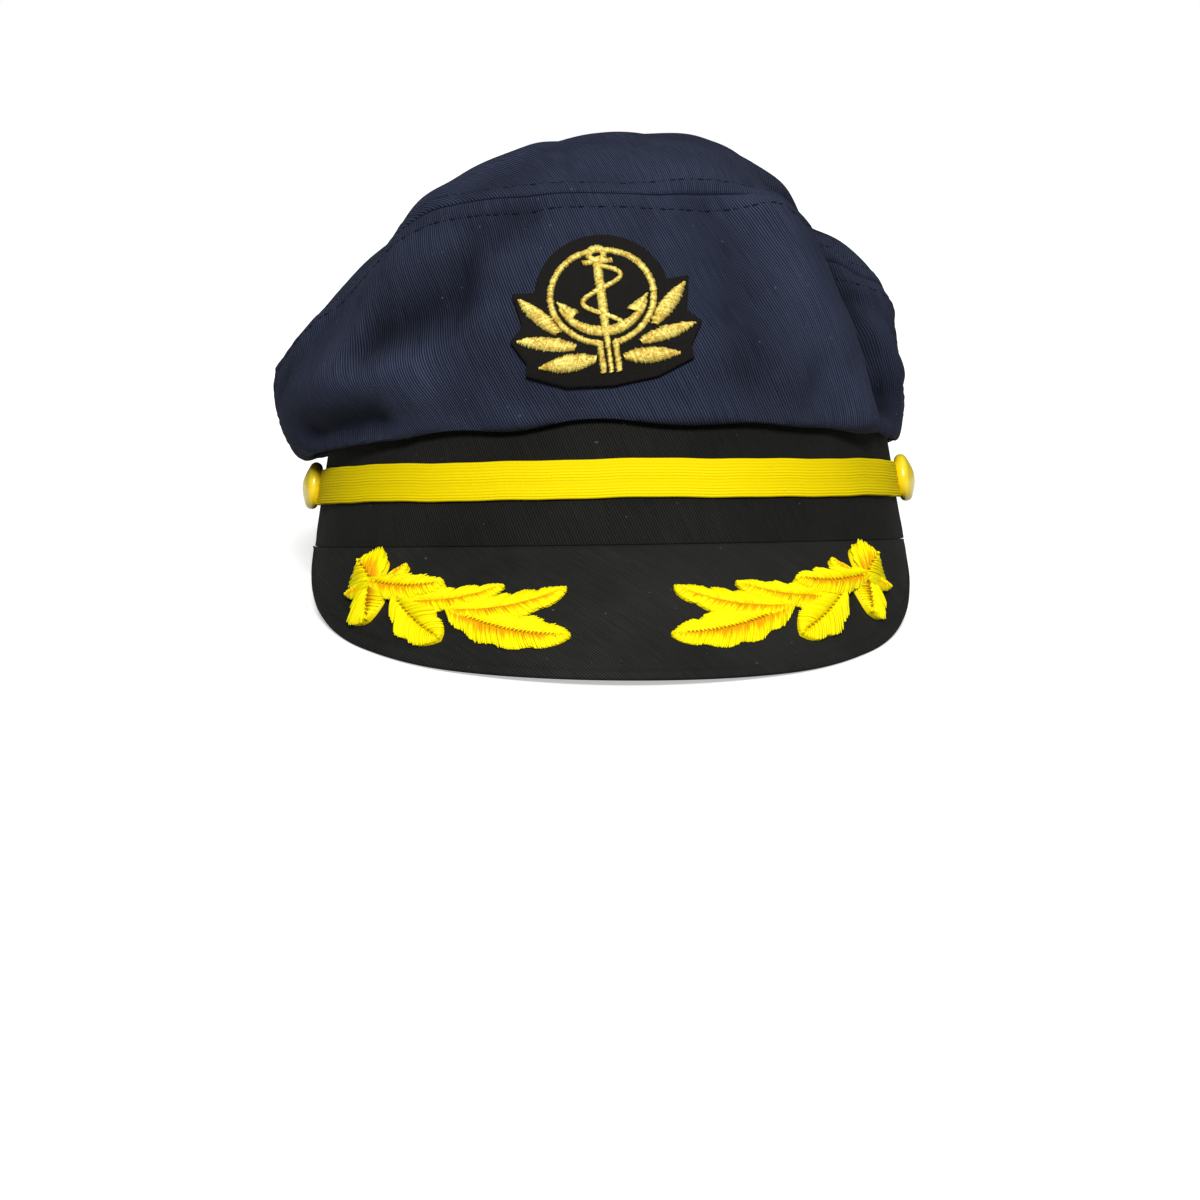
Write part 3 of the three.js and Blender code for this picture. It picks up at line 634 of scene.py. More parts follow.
def elastic():
    m = Finish("yellow_elastic", roughness=0.75, specular_ior_level=0.06)
    x, y = m.split(m.weave())
    loops = [
        m.math("SINE", m.math("MULTIPLY", m.linear(y, lean, x), 2 * np.pi / KNIT_PITCH))
        for lean in (0.5, -0.5)
    ]
    knit = m.math("MULTIPLY", *loops)
    fuzz = m.noise(m.place(), 2600.0, 2.0, 0.7)
    # Painted shade: the tone darkens the elastic towards orange in the grooves between its ribs.
    groove = m.math("MULTIPLY", m.attribute("tone"), 0.55)
    share = m.math("ADD", m.linear(knit, 0.1, 0.08), groove, clamp=True)
    base = m.mix(share, colour(255, 233, 4), colour(206, 158, 0))
    cloud = m.noise(m.place(), 60.0, 2.0)
    base = m.mix(m.span(cloud, 0.35, 0.7, 0.0, 0.25), base, colour(240, 214, 0))
    return m.finish(base, m.bump(m.linear(fuzz, 0.5, knit), 0.00006, 0.7))


def gloss():
    m = Finish("yellow_gloss", roughness=0.32, coat_weight=0.5, coat_roughness=0.2)
    cloud = m.noise(m.place(), 220.0, 3.0)
    base = m.mix(m.span(cloud, 0.3, 0.7), colour(240, 206, 14), colour(250, 222, 30))
    grain = m.noise(m.place(), 1500.0, 2.0)
    return m.finish(base, m.bump(grain, 0.00002, 0.5), m.span(cloud, 0.3, 0.7, 0.28, 0.4))


navy_cloth = twill(
    "navy_twill", colour(64, 69, 91), colour(13, 20, 33), pitch=0.73, slope=62)
band_cloth = twill(
    "black_twill", colour(41, 40, 37), colour(14, 15, 14), pitch=0.73, slope=64)
peak_cloth = twill(
    "black_peak_twill", colour(48, 48, 46), colour(18, 18, 18), pitch=0.64, slope=46,
    depth=0.00008)
dark_thread, spray_thread, badge_thread = dyed_thread_and_seam_shade(), yellow_thread(), gold_thread()
felt_cloth, strap_cloth, button_gloss = felt(), elastic(), gloss()

# The crown's panels. Rows are measured in millimetres down the wall, or across the lid, from the
# seam between them, and lie closer together beside it.
SEAM = dict(
    groove=0.7, groove_half=0.35, strip_rise=0.35, strip_past=0.3, strip_edge=0.25, strip_foot=1.2,
    row=4.7, drawn=0.22, drawn_wave=0.08, drawn_half=0.45,
    pucker=0.14, pucker_half=2.2, pucker_stitches=2.7,
)
STITCH = dict(long=2.2, pitch=2.7, radius=0.2)
SIDE_ROW = 3
PER_DEGREE = 1.6  # millimetres of wall for each degree of direction
SIDE_RELIEF = dict(share=0.7, groove=0.25, groove_half=0.4, fade=6)
WALL_TOP, LID_EDGE, LID_MIDDLE, MAP_LEVEL = 0.998, 1.002, 1.985, 0.62


def seam_relief(away, along, row=SEAM["row"]):
    """The cloth's rise beside a seam: a groove, a strip raised by the turned edge under it, and a
    stitched row that draws the cloth in and puckers it."""
    past = (away - row - SEAM["strip_past"]) / SEAM["strip_edge"]
    strip = 1 / (1 + np.exp(past)) * (1 - bump(away, SEAM["strip_foot"]))
    stitch = 2 * np.pi * along / STITCH["pitch"]
    drawn = bump(away - row, SEAM["drawn_half"]) * (SEAM["drawn"] + SEAM["drawn_wave"] * np.cos(stitch))
    pucker = bump(away - row, SEAM["pucker_half"]) * np.sin(stitch / SEAM["pucker_stitches"])
    groove = SEAM["groove"] * bump(away, SEAM["groove_half"])
    return SEAM["strip_rise"] * strip - drawn + SEAM["pucker"] * pucker - groove


def rows_from_seam(at, far, close, near=9, steps=22, far_rows=60):
    """Levels for each direction at set distances from the seam, from close to it to far away."""
    levels = np.linspace(close, far, 160)
    places = crown_cloth(at[:, None], levels[None, :])
    run = path_length(places, 1)
    dense = near * np.linspace(0, 1, steps, endpoint=False) ** 1.25
    rest = near + (run[:, -1:] - near) * np.linspace(0, 1, far_rows)
    wanted = np.concatenate([np.broadcast_to(dense, (len(at), steps)), rest], 1)
    found = np.stack([np.interp(w, r, levels) for w, r in zip(wanted, run)])
    return found.T, wanted.T


def fold_shade(at, levels):
    """The painted shade: up to 1 deep in a fold, and below 0 on its ridges."""
    return np.clip(-fold_rise(FOLDS, at, levels) / FOLD_SHADE["full"], FOLD_SHADE["ridge"], 1)


def wall_panel(name, at, node):
    levels, away = (grid[::-1] for grid in rows_from_seam(at, 0.0, WALL_TOP))
    places = crown_cloth(np.broadcast_to(at, levels.shape), levels)
    along = np.broadcast_to(path_length(crown_base(at, MAP_LEVEL)), levels.shape)
    to_side = np.minimum(along - along[0, 0], along[0, -1] - along)
    side_relief = SIDE_RELIEF["share"] * seam_relief(to_side, away, SIDE_ROW)
    side_relief -= SIDE_RELIEF["groove"] * bump(to_side, SIDE_RELIEF["groove_half"])
    rise = seam_relief(away, along) + np.clip(away / SIDE_RELIEF["fade"], 0, 1) * side_relief
    outer = places + grid_normals(places) * rise[..., None]
    inner = outer - grid_normals(outer) * CLOTH
    piece = Piece()
    tone = fold_shade(at, levels)
    piece.shell(outer, inner, stack(along, -away), tone=np.concatenate([tone, tone[::-1]]).ravel())
    piece.build(name, navy_cloth, "navy_twill", node)


wall_panel("crown_front_cloth", np.linspace(-SIDE_SEAM, SIDE_SEAM, 300), "crown_front")
wall_panel("crown_back_cloth", np.linspace(SIDE_SEAM + 0.2, 360 - SIDE_SEAM - 0.2, 260), "crown_back")


def lid_map(at, away):
    """The lid laid flat, for its inner and then its outer face: each direction runs out from the
    middle as far as its cloth does."""
    reach = away[-1] - away
    flat = stack(reach * np.sin(np.radians(at)), -reach * np.cos(np.radians(at)))
    return np.concatenate([flat[::-1], flat])


def lid_panel():
    at = np.linspace(0, 360, 400, endpoint=False)
    levels, away = rows_from_seam(at, LID_MIDDLE, LID_EDGE)
    places = crown_cloth(np.broadcast_to(at, levels.shape), levels)
    along = np.broadcast_to(path_length(crown_base(at, LID_EDGE)), levels.shape)
    normals = grid_normals(places, loop_columns=True)
    outer = places + normals * seam_relief(away, along)[..., None]
    inner = outer - grid_normals(outer, loop_columns=True) * CLOTH
    places = np.concatenate([inner[::-1], outer])
    flat = lid_map(at, away)
    piece = Piece()
    tone = fold_shade(at, levels)
    tone = np.concatenate([tone[::-1], tone]).ravel()
    piece.grid(places, np.concatenate([flat, flat[:, :1]], 1), loop_columns=True, tone=tone)
    i = np.arange(len(at))
    j = (i + 1) % len(at)
    last = (len(places) - 1) * len(at)
    for row, start, sign in ((0, 0, -1), (-1, last, 1)):
        middle, ring = places[row].mean(0), flat[row]
        fan = stack(start + i, start + j, piece.count + 0 * i).astype(int)[:, ::sign]
        corners = np.stack([ring[i, :2], ring[j, :2], np.broadcast_to(ring.mean(0), (len(at), 2))], 1)
        piece.add(middle, fan - piece.count, corners[:, ::sign])
    piece.build("crown_top_cloth", navy_cloth, "navy_twill", "crown_top")


lid_panel()


def row_of_stitches(piece, places, normals, seed):
    """Stitches along a row of places, a set pitch apart, half sunk in the cloth."""
    run = path_length(places)
    starts = np.arange(0, run[-1] - STITCH["long"], STITCH["pitch"])
    steps = np.linspace(0, 1, 6)
    wanted = starts[:, None] + steps * STITCH["long"]
    path = stack(*[np.interp(wanted, run, places[:, k]) for k in range(3)])
    out = stack(*[np.interp(wanted, run, normals[:, k]) for k in range(3)])
    dip = -0.12 + 0.2 * np.sin(np.pi * steps)
    piece.threads(path + out * dip[:, None], out, STITCH["radius"], seed=seed)


# The crown's stitched rows, and a dark thread laid in the lid seam as painted shade.
def crown_stitching_and_seam_shade():
    piece = Piece()
    around = np.linspace(-SIDE_SEAM, 360 - SIDE_SEAM, 900)
    rows = []
    for far, close in ((0.3, WALL_TOP), (1.5, LID_EDGE)):
        levels, _ = rows_from_seam(around, far, close, near=SEAM["row"], steps=1, far_rows=1)
        rows.append((around, levels[1]))
    for edge in (SIDE_SEAM, -SIDE_SEAM):
        for side in (-1, 1):
            rows.append((np.full(120, edge + side * SIDE_ROW / PER_DEGREE), np.linspace(0.93, 0.34, 120)))
    for seed, (at, level) in enumerate(rows):
        normals = normal_of(crown_cloth, at, level, 0.5, 0.02)
        row_of_stitches(piece, crown_cloth(at, level), normals, seed)
    # Painted shade: a continuous dark thread sunk into the groove of the seam between wall and lid stands
    # in for the groove's shadow.
    seam = np.ones_like(around)
    normals = normal_of(crown_cloth, around, seam, 0.5, 0.02)
    piece.threads((crown_cloth(around, seam) - 0.62 * normals)[None], normals[None], 0.32, seed=9)
    piece.build("crown_stitching_and_seam_shade", dark_thread, "navy_twill")


crown_stitching_and_seam_shade()


# The band: a stiff ring with rounded edges, joined by a seam at the back.
def rounded(corners, radius, steps=6):
    """A closed profile with each corner rounded."""
    corners = np.array(corners, float)
    made = []
    for k, corner in enumerate(corners):
        before = corner + radius * unit(corners[k - 1] - corner)
        after = corner + radius * unit(corners[(k + 1) % len(corners)] - corner)
        t = np.linspace(0, 1, steps)[:, None]
        made.append((1 - t) ** 2 * before + 2 * t * (1 - t) * corner + t * t * after)
    return np.concatenate(made)


def fill_in(profile, step):
    """A closed profile with points added where they lie further apart than a step."""
    made = []
    for a, b in zip(profile, np.roll(profile, -1, 0)):
        count = max(1, int(np.ceil(np.linalg.norm(b - a) / step)))
        made.append(a + (b - a) * (np.arange(count) / count)[:, None])
    return np.concatenate(made)


def corner_grid(across, down):
    """Flat places of a grid's corners, from those of its columns and of its rows."""
    return stack(*np.meshgrid(across, down))


BAND_SEAM_ROW = 2.4


def band():
    height, wall = BAND["height"], BAND["wall"]
    profile = fill_in(rounded([(0, 0), (0, height), (-wall, height), (-wall, 0)], 0.4), 1.3)
    at = np.linspace(0, 360, 400, endpoint=False)
    out, up = (np.broadcast_to(profile[:, k:k + 1], (len(profile), len(at))) for k in (0, 1))
    turn = np.broadcast_to(at, up.shape)
    fade = np.clip(np.minimum(up, height - up) / 2.5, 0, 1)
    soft = 0.2 * np.minimum(ripple(oval_point(turn, up, out) * [1.4, 1.4, 2.2]), 0.5) * fade
    seam = 0.5 * seam_relief(np.abs(turn - 180) * PER_DEGREE, up, BAND_SEAM_ROW)
    places = oval_point(turn, up, out + np.where(out > -wall / 2, soft + seam, 0))
    over_peak = np.clip(3 * np.cos(np.radians(turn)), 0, 1)
    places[..., 2] -= 0.8 * GAP * over_peak * np.clip(1 - up / 3, 0, 1)
    around = np.append(at, 360) * PER_DEGREE
    run = path_length(profile)
    piece = Piece()
    piece.grid(places, corner_grid(around, np.append(run, run[-1] + 1)), loop_rows=True, loop_columns=True)
    piece.build("band_cloth", band_cloth, "black_twill", "band")


band()

# The peak: a stiff leaf covered in fine twill, with a corded edge.
PIPING = dict(at=1, half=0.9, rise=0.35, groove_at=2.7, groove_half=0.5, groove=0.25)
# The peak's tuck, which turns up inside the band: (out from the band's face, up).
PEAK_TUCK = [(-3.4, 4), (-2.5, 4), (-2.5, -GAP), (-3.4, -GAP - 0.8)]


def peak():
    at = np.linspace(-PEAK["end"], PEAK["end"], 300)
    down = 0.986 * (1 - np.linspace(1, 0, 56) ** 1.7)
    turn, fall = np.broadcast_arrays(at[None, :], down[:, None])
    face = peak_surface(turn, fall)
    below = normal_of(peak_surface, turn, np.clip(fall, 0.1, 0.95), 0.5, 0.02)
    from_end = np.minimum(1, 0.35 + (PEAK["end"] - np.abs(turn)) / 14)
    edge_run = path_length(face[::-1])[::-1]
    cord = PIPING["rise"] * bump(edge_run - PIPING["at"], PIPING["half"])
    cord = cord - PIPING["groove"] * bump(edge_run - PIPING["groove_at"], PIPING["groove_half"])
    outer = face - below * (cord * from_end)[..., None]
    wall = lerp(PEAK["edge"], PEAK["wall"], np.clip(edge_run / 6, 0, 1)) * from_end
    inner = face + below * wall[..., None]
    middle, half = (outer[-1] + inner[-1]) / 2, (outer[-1] - inner[-1]) / 2
    radius, upward = np.linalg.norm(half, axis=-1, keepdims=True), unit(half)
    away = unit(face[-1] - face[-3])
    away = unit(away - upward * (away * upward).sum(-1, keepdims=True))
    bend = np.linspace(0, np.pi, 9)[1:-1, None, None]
    lip = middle + radius * (np.cos(bend) * upward + np.sin(bend) * away)
    tuck = [oval_point(at, 0, np.full(len(at), out)) + [0, 0, up] for out, up in PEAK_TUCK]
    places = np.concatenate([tuck[:3], outer, lip, inner[::-1], tuck[3:]])
    uv = stack(places[..., 0], -path_length(places))
    piece = Piece()
    rows, columns = places.shape[:2]
    piece.grid(places, np.concatenate([uv, uv[:1]]), loop_rows=True, flip=True)
    for column, sign in ((0, -1), (columns - 1, 1)):
        piece.face((np.arange(rows) * columns + column)[::sign], uv[::sign, column])
    piece.build("peak_cloth", peak_cloth, "black_twill", "peak")


peak()

# The strap: ribbed elastic, drawn in at the buttons.
RIBS = dict(count=13, rise=0.12)
STRAP_SWAY = table("length height start", (9, 0.16, 1), (4.1, 0.1, 0), (1.7, 0.05, 0))


def strap():
    at = np.linspace(-STRAP["end"], STRAP["end"], 440)
    front, back = np.linspace(-0.5, 0.5, 101), np.linspace(0.5, -0.5, 9)
    ribs = np.abs(np.sin(np.pi * (front + 0.5) * RIBS["count"])) ** 0.6
    edge = np.sqrt(np.clip(1 - (2 * front) ** 12, 0, 1))
    lift = STRAP["thick"] * (0.45 + 0.4 * edge) + RIBS["rise"] * (ribs - 0.5)
    share, lift = np.concatenate([front, back]), np.concatenate([lift, np.full(len(back), 0.1)])
    # Painted shade: this tone is 1 in the grooves between the ribs, and the elastic's colour is made
    # darker there.
    groove = np.concatenate([1 - ribs, np.zeros(len(back))])
    turn, rows = at[None, :], share[:, None]
    from_end = STRAP["end"] - np.abs(turn)
    width = STRAP["width"] * np.minimum(1, STRAP["pinch"] + from_end * 0.03)
    sway = sum(row["height"] * np.sin(turn / row["length"] + row["start"]) for row in STRAP_SWAY)
    gather = bump(from_end - 3, 6) * 0.12 * np.sin(2 * np.pi * rows * 5 + turn / 3)
    up = STRAP["up"] + rows * width + sway * np.clip(from_end / 10, 0, 1)
    places = oval_point(turn + 0 * rows, up, GAP + lift[:, None] + gather)
    run = path_length(stack(share * STRAP["width"], lift))
    uv = corner_grid(path_length(places[50]), np.append(run, run[-1] + 1))
    piece = Piece()
    piece.grid(places, uv, loop_rows=True, tone=np.repeat(groove, len(at)))
    for column, sign in ((0, 1), (len(at) - 1, -1)):
        rim = np.arange(len(share)) * len(at) + column
        piece.face(rim[::sign], uv[:-1][::sign, column])
    piece.build("strap_elastic", strap_cloth, "yellow_elastic", "strap", sharp=60)


strap()


# The buttons: turned mushrooms on short shanks.
def button(word, side, sides=72):
    radius, thick, stand, shank, rim = (
        BUTTON[key] for key in ("radius", "thick", "stand", "shank", "rim"))
    under = [(shank, stand - 0.5), (shank, stand), (radius - rim - 0.4, stand)]
    lip = [
        (radius - rim + rim * np.sin(np.pi * t), stand + rim - rim * np.cos(np.pi * t))
        for t in np.linspace(0, 0.85, 14)
    ]
    (rim_out, rim_up), top = lip[-1], stand + thick
    dome = [
        (rim_out * (1 - t), rim_up + (top - rim_up) * np.sin(np.pi * t / 2))
        for t in np.linspace(0.04, 0.97, 20)
    ]
    profile = np.array(under + lip + dome, float)
    spin = (2 * np.pi * np.arange(sides) / sides)[:, None]

    def face(at, up):
        return oval_point(at, up, 0 * at)

    at, up = np.array(float(side * BUTTON["at"])), np.array(float(STRAP["up"]))
    outward = normal_of(face, at, up, 0.5, 0.5)
    across = unit(np.cross([0, 0, 1], outward))
    radial = np.cos(spin) * across + np.sin(spin) * np.cross(outward, across)
    start = face(at, up) + outward * (2 * GAP + STRAP["thick"])
    places = start + profile[:, 1:, None] * outward + profile[:, :1, None] * radial
    uv = corner_grid(np.arange(sides + 1) / 4, path_length(profile))
    piece = Piece()
    piece.grid(places, uv, loop_columns=True)
    for row, sign in ((0, -1), (len(profile) - 1, 1)):
        piece.face((np.arange(sides) + row * sides)[::sign], uv[row, :sides])
    piece.build(f"button_{word}_gloss", button_gloss, "yellow_gloss", f"button_{word}")


# The badge: a felt patch on the crown, with satin stitches in gold thread.
def on_crown(x, y):
    """A place of the badge's own plane, seen on the crown."""
    c, s = np.cos(np.radians(BADGE["turn"])), np.sin(np.radians(BADGE["turn"]))
    up = (x * s + y * c) * np.cos(np.radians(BADGE["lean"]))
    return behind(crown_cloth, BADGE["x"] + x * c - y * s, BADGE["up"] + up, (0, 0.75))


GRID_X, GRID_Y = (-30, 30), (-28, 22)
badge_grid = np.concatenate(on_crown(*np.meshgrid(
    np.arange(GRID_X[0], GRID_X[1] + 1), np.arange(GRID_Y[0], GRID_Y[1] + 1))), -1)


def on_badge(x, y):
    """The same from a grid of places 1 mm apart, made once, and read straight between them."""
    i = np.clip(np.floor(x - GRID_X[0]).astype(int), 0, badge_grid.shape[1] - 2)
    j = np.clip(np.floor(y - GRID_Y[0]).astype(int), 0, badge_grid.shape[0] - 2)
    s, t = (x - GRID_X[0] - i)[..., None], (y - GRID_Y[0] - j)[..., None]
    low = lerp(badge_grid[j, i], badge_grid[j, i + 1], s)
    high = lerp(badge_grid[j + 1, i], badge_grid[j + 1, i + 1], s)
    found = lerp(low, high, t)
    return found[..., :3], unit(found[..., 3:])


def arc(x, y, radius, start, end):
    def path(t):
        turn = np.radians(lerp(start, end, t))
        return stack(x + radius * np.cos(turn), y + radius * np.sin(turn))
    return path


def line(start, end):
    return lambda t: lerp(np.array(start, float), np.array(end, float), np.asarray(t)[..., None])


def patch():
    corners = np.array(PATCH_CORNERS)
    start = np.degrees(np.arctan2(corners[0, 1], corners[0, 0]))
    top = arc(0, 0.6, PATCH_ROUND - 0.6, start, 180 - start)(np.linspace(0, 1, 60))
    outline = fill_in(np.concatenate([top, corners * [-1, 1], corners[-2::-1]]), 0.5)
    outline = (np.roll(outline, 1, 0) + 2 * outline + np.roll(outline, -1, 0)) / 4
    rounding = [(0, 0.42), (0.006, 0.16), (0.016, 0.04), (0.03, 0)]
    share = np.concatenate([[s for s, _ in rounding], np.linspace(0.05, 0.97, 26)])
    drop = np.interp(share, *zip(*rounding))
    plane = outline + (np.array([0, -5]) - outline) * share[:, None, None]
    places, normals = on_badge(plane[..., 0], plane[..., 1])
    outer = places + normals * (BADGE["lift"] + BADGE["thick"] - drop)[:, None, None]
    rings = np.concatenate([(places[0] + normals[0] * 0.1)[None], outer])
    flat = np.concatenate([outline[None], plane])
    piece = Piece()
    piece.grid(rings, np.concatenate([flat, flat[:, :1]], 1), loop_columns=True)
    columns = np.arange(len(outline))
    piece.face(columns[::-1], outline[::-1])
    piece.face(columns + (len(rings) - 1) * len(columns), plane[-1])
    piece.build("badge_felt", felt_cloth, "black_felt", "badge_patch")


patch()

PATCH_TOP = BADGE["lift"] + BADGE["thick"]
GOLD = dict(radius=0.2, pitch=0.33, steps=7)


def satin(piece, path, half, seed, slant=14, thick=0.75, sway=0.12, base=0.0):
    """Satin stitches laid across a path of the badge's plane, side by side over a rounded core."""
    fine = np.linspace(0, 1, 400)
    run = path_length(path(fine))
    count = max(3, int(run[-1] / GOLD["pitch"]))
    t = np.interp(np.linspace(0, run[-1], count), run, fine)
    draw = np.random.default_rng(seed)
    centre, ahead = path(t), unit(path(np.clip(t + 1e-3, 0, 1)) - path(np.clip(t - 1e-3, 0, 1)))
    left = stack(-ahead[:, 1], ahead[:, 0])
    side = left * np.cos(np.radians(slant)) - ahead * np.sin(np.radians(slant))
    full = thick * np.minimum(1, half(t) / 0.9)[:, None]

    def rows(direction, across, height):
        flat = centre[:, None] + direction[:, None] * across[..., None]
        places, normals = on_badge(flat[..., 0], flat[..., 1])
        return flat, places + normals * (PATCH_TOP + base + height)[..., None], normals

    share = np.linspace(-1, 1, GOLD["steps"])
    reach = half(t) + draw.uniform(-sway, sway, count)
    offset = draw.uniform(-sway, sway, count)
    height = full * np.sqrt(np.clip(1 - share ** 2, 0.02, 1)) + draw.uniform(-0.04, 0.06, (count, 1))
    _, places, normals = rows(side, share * reach[:, None] + offset[:, None], height)
    piece.threads(places, normals, GOLD["radius"], seed=seed)
    share = np.linspace(-1, 1, 7)
    height = full * np.sqrt(np.clip(1 - share ** 2, 0, 1)) - 0.08
    flat, outer, _ = rows(left, share * half(t)[:, None] * 0.94, height)
    _, inner, _ = rows(left, share * half(t)[:, None] * 0.94, 0 * height - base - 0.15)
    piece.shell(*(grid.swapaxes(0, 1) for grid in (outer, inner, flat)), tone=0.6)


def constant(value):
    return lambda t: np.full(np.shape(t), float(value))


def leaf_half(half, fullness=0.8):
    return lambda t: 0.15 + half * np.sin(np.pi * np.clip(t, 0, 1)) ** fullness


def anchor():
    """The ring, open at its foot where two stems go down, and the anchor with its rope."""
    piece = Piece()
    foot_y = -RING["radius"] * np.cos(np.radians(RING["open_from"]))
    stem = RING["radius"] * np.sin(np.radians(RING["open_from"]))
    arms, arms_up, stock, stock_up = (ANCHOR[key] for key in ("arms", "arms_up", "stock", "stock_up"))
    ring = arc(0, 0, RING["radius"], -90 + RING["open_from"], 270 - RING["open_from"])

    def wound(t):
        reach = ROPE["reach"] * np.sin(2 * np.pi * ROPE["turns"] * t) * (1 - 0.25 * t)
        return stack(reach, lerp(ROPE["top"], ROPE["foot"], t))

    def shank(t):
        return lerp(ANCHOR["shank"], 0.6, np.clip((t - 0.5) / 0.3, 0, 1))

    satin(piece, ring, constant(RING["half"]), 1)
    satin(piece, line((-stock, stock_up), (stock, stock_up)), constant(0.7), 2)
    satin(piece, line((0, stock_up + 1), (0, foot_y - RING["stems"])), shank, 3, slant=20)
    satin(piece, arc(0, ANCHOR["eye_up"], ANCHOR["eye"], -90, 270), constant(0.8), 4, base=0.15)
    satin(piece, arc(0, arms_up, arms, 202, 338), lambda t: 0.5 + 0.95 * np.sin(np.pi * t), 5, base=0.1)
    satin(piece, wound, constant(ROPE["half"]), 6, slant=35, base=0.45, thick=0.5)
    for seed, side in ((7, -1), (8, 1)):
        tip, barb = (side * arms * 0.98, arms_up - arms * 0.22), (side * arms * 0.66, arms_up - arms * 0.6)
        stem_foot = (side * stem, foot_y - RING["stems"])
        satin(piece, line((side * stem, foot_y + 0.4), stem_foot), constant(0.8), seed)
        satin(piece, line(tip, barb), lambda t: 0.15 + 1.9 * t, seed + 2, base=0.25)
    piece.build("badge_anchor_thread", badge_thread, "gold_thread", "badge_anchor", sharp=75)


def laurel(word, side, leaf, seed):
    (x, y), (to_x, to_y) = leaf["stem"], leaf["tip"]
    piece = Piece()
    path = line((side * x, y), (side * to_x, to_y))
    shape = leaf_half(leaf["half"])
    satin(piece, path, lambda t: shape(0.1 + 0.9 * t), seed, slant=22 * side, thick=0.95, sway=0.2)
    node = f"badge_leaf_{word}_{leaf['name']}"
    piece.build(node + "_thread", badge_thread, "gold_thread", node, sharp=75)


# The sprays: oak leaves in yellow thread, each side of a leaf stitched from its midrib to its edge.
YELLOW = dict(radius=0.25, pitch=0.32, steps=8, lead=0.55)


def on_peak(flat):
    x, up = flat[..., 0], flat[..., 1]
    return behind(peak_surface, x, up, (np.clip(x, -60, 60), np.clip(-up / 34, 0.05, 1)))


def oak_half(leaf, shift):
    """Half width along a leaf, in and out over its lobes."""
    shape = leaf_half(leaf["half"], 0.55)

    def half(t):
        return shape(t) * (0.76 + 0.24 * np.abs(np.sin(np.pi * (leaf["lobes"] * t + shift))) ** 0.8)
    return half


def oak_leaf(piece, leaf, side, shift, layer):
    start, end = (
        np.array([SPRAY["middle"] + side * (x + shift), up]) for x, up in (leaf["stem"], leaf["tip"]))
    along = end - start
    length = np.linalg.norm(along)

    def rib(t):
        bow = 0.05 * np.sin(np.pi * np.clip(t, 0, 1)) * side
        return start + along * t[..., None] + bow[..., None] * np.array([-along[1], along[0]])

    def beside(t, offset):
        """The place at an offset on the peak from the midrib, and the normal there."""
        place, normal = on_peak(rib(t))
        ahead = on_peak(rib(t + 0.01))[0] - on_peak(rib(t - 0.01))[0]
        moved = place + unit(np.cross(ahead, normal)) * offset[..., None]
        return on_peak(moved[..., ::2])

    lift = GAP + 0.16 * layer
    draw = np.random.default_rng(40 + layer)
    for hand in (-1, 1):
        half = oak_half(leaf, 0.12 * hand)
        count = int(length * 1.06 / YELLOW["pitch"])
        edge = np.linspace(0, 1, count)
        reach = half(edge) + draw.uniform(-0.25, 0.35, count)
        root = np.clip(edge - YELLOW["lead"] * reach / length - 0.01, -0.02, 1)
        s = np.linspace(0, 1, YELLOW["steps"])
        t = lerp(root[:, None], edge[:, None], s)
        places, normals = beside(t, hand * reach[:, None] * s)
        height = SPRAY["thick"] * (0.5 + 0.55 * np.sin(np.pi * s ** 0.75)) * (1 - 0.75 * s ** 3)
        height = lift + height + draw.uniform(-0.05, 0.08, (count, 1))
        shaded = draw.uniform(0.25, 0.62, (count, 1))
        dark = (hand == leaf["shade"] * side) / (1 + np.exp((s - shaded) / 0.05))
        dark = dark * np.clip(np.minimum(edge, 1 - edge)[:, None] * 7, 0, 1)
        piece.threads(places + normals * height[..., None], normals, YELLOW["radius"],
                      tone=dark, seed=layer + 3 * hand + 3)
        core, across = np.broadcast_arrays(np.linspace(0, 1, 24)[:, None], np.linspace(0, 1, 6))
        places, normals = beside(core, hand * half(core) * 0.94 * across)
        rise = SPRAY["thick"] * (0.5 + 0.5 * np.sin(np.pi * across ** 0.75)) * (1 - 0.8 * across ** 3)
        outer = places + normals * (lift - 0.16 + rise)[..., None]
        inner = places + normals * 0.05
        piece.shell(outer[:, ::hand], inner[:, ::hand], stack(core, across), tone=0.2)
    if leaf["dotted"]:
        spots = np.linspace(0.1, 0.86, max(4, int(length / 1.25)))[:, None]
        s = np.linspace(0, 1, 4)
        t = spots + s * 0.5 / length
        places, normals = beside(t, side * (0.3 * leaf["shade"] + 0.75 * s - 0.2) + 0 * t)
        high = lift + SPRAY["thick"] * 0.82 + 0.24
        piece.threads(places + normals * high, normals, 0.17, tone=2, seed=layer)


def spray(word, side, shift):
    piece = Piece()
    for layer, leaf in enumerate(OAK_LEAVES):
        oak_leaf(piece, leaf, side, shift, layer)
    piece.build(f"spray_{word}_thread", spray_thread, "yellow_thread", f"peak_spray_{word}", sharp=75)


anchor()
for each in SIDES:
    button(each["word"], each["side"])
    spray(**each)
    for number, each_leaf in enumerate(LAURELS):
        laurel(each["word"], each["side"], each_leaf, 20 + number + 5 * each["side"])


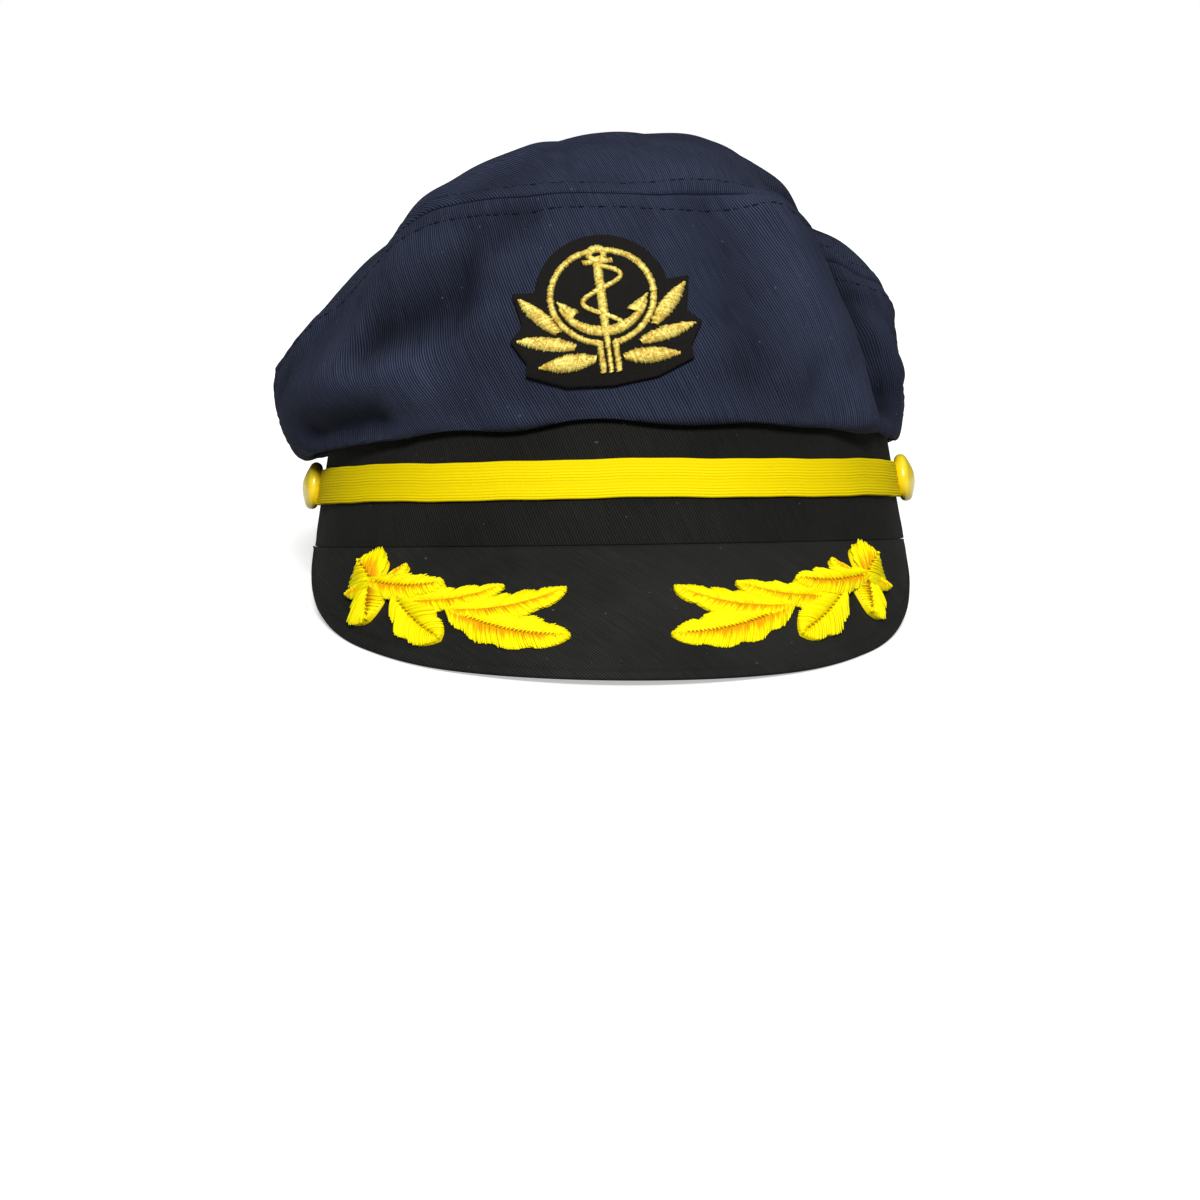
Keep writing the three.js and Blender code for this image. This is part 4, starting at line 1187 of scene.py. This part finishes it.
# Floor, light and camera.
def stage():
    bpy.ops.mesh.primitive_circle_add(vertices=96, radius=6, fill_type="NGON")
    floor = bpy.context.object
    floor.name = "floor"
    white = Finish("floor_white", roughness=0.9, emission_strength=0.5)
    white.shader.inputs["Emission Color"].default_value = (1, 1, 1, 1)
    floor.data.materials.append(white.finish(colour(236, 236, 234)))
    floor.visible_diffuse = False
    world = bpy.data.worlds.new("studio")
    bpy.context.scene.world = world
    world.use_nodes = True
    nodes, links = world.node_tree.nodes, world.node_tree.links
    seen = nodes.new("ShaderNodeLightPath").outputs["Is Camera Ray"]
    strength = nodes.new("ShaderNodeMapRange")
    links.new(seen, strength.inputs[0])
    strength.inputs[3].default_value, strength.inputs[4].default_value = WORLD_LIGHT, WORLD_SEEN
    nodes["Background"].inputs["Color"].default_value = (1, 1, 1, 1)
    links.new(strength.outputs[0], nodes["Background"].inputs["Strength"])
    bpy.context.scene.view_settings.view_transform = "Standard"


def soft_sun(name, direction, strength, spread):
    """A distant light that shines from a direction, its softness an angle in degrees."""
    data = bpy.data.lights.new(name, "SUN")
    data.energy, data.angle = strength, np.radians(spread)
    light = bpy.data.objects.new(name, data)
    light.rotation_euler = (-Vector(direction)).to_track_quat("-Z", "Y").to_euler()
    bpy.context.scene.collection.objects.link(light)


WORLD_LIGHT, WORLD_SEEN = 0.09, 1.0
stage()
soft_sun("key", (0.04, -1, 0.62), 3.4, 14)
soft_sun("top", (0.1, -0.2, 1), 0.7, 50)

# The photograph's camera in the cap's own frame, in millimetres and degrees.
CAMERA = dict(place=(0, -903, 6), pitch=-1.47, yaw=-0.19, roll=0.8, lens=92.16, sensor=36)


def camera():
    pitch, yaw, roll = (np.radians(CAMERA[key]) for key in ("pitch", "yaw", "roll"))
    ahead = np.array([np.sin(yaw) * np.cos(pitch), np.cos(yaw) * np.cos(pitch), np.sin(pitch)])
    right = unit(np.cross(ahead, [0, 0, 1]))
    up = np.cross(right, ahead)
    across, upward = right * np.cos(roll) - up * np.sin(roll), right * np.sin(roll) + up * np.cos(roll)
    axes = Matrix((cap_turn @ np.stack([across, upward, -ahead], 1)).tolist())
    data = bpy.data.cameras.new("camera")
    data.lens, data.sensor_width, data.clip_start = CAMERA["lens"], CAMERA["sensor"], 0.05
    eye = bpy.data.objects.new("camera", data)
    eye.matrix_world = Matrix.Translation(to_row(np.array(CAMERA["place"], float))) @ axes.to_4x4()
    bpy.context.scene.collection.objects.link(eye)
    bpy.context.scene.camera = eye


camera()
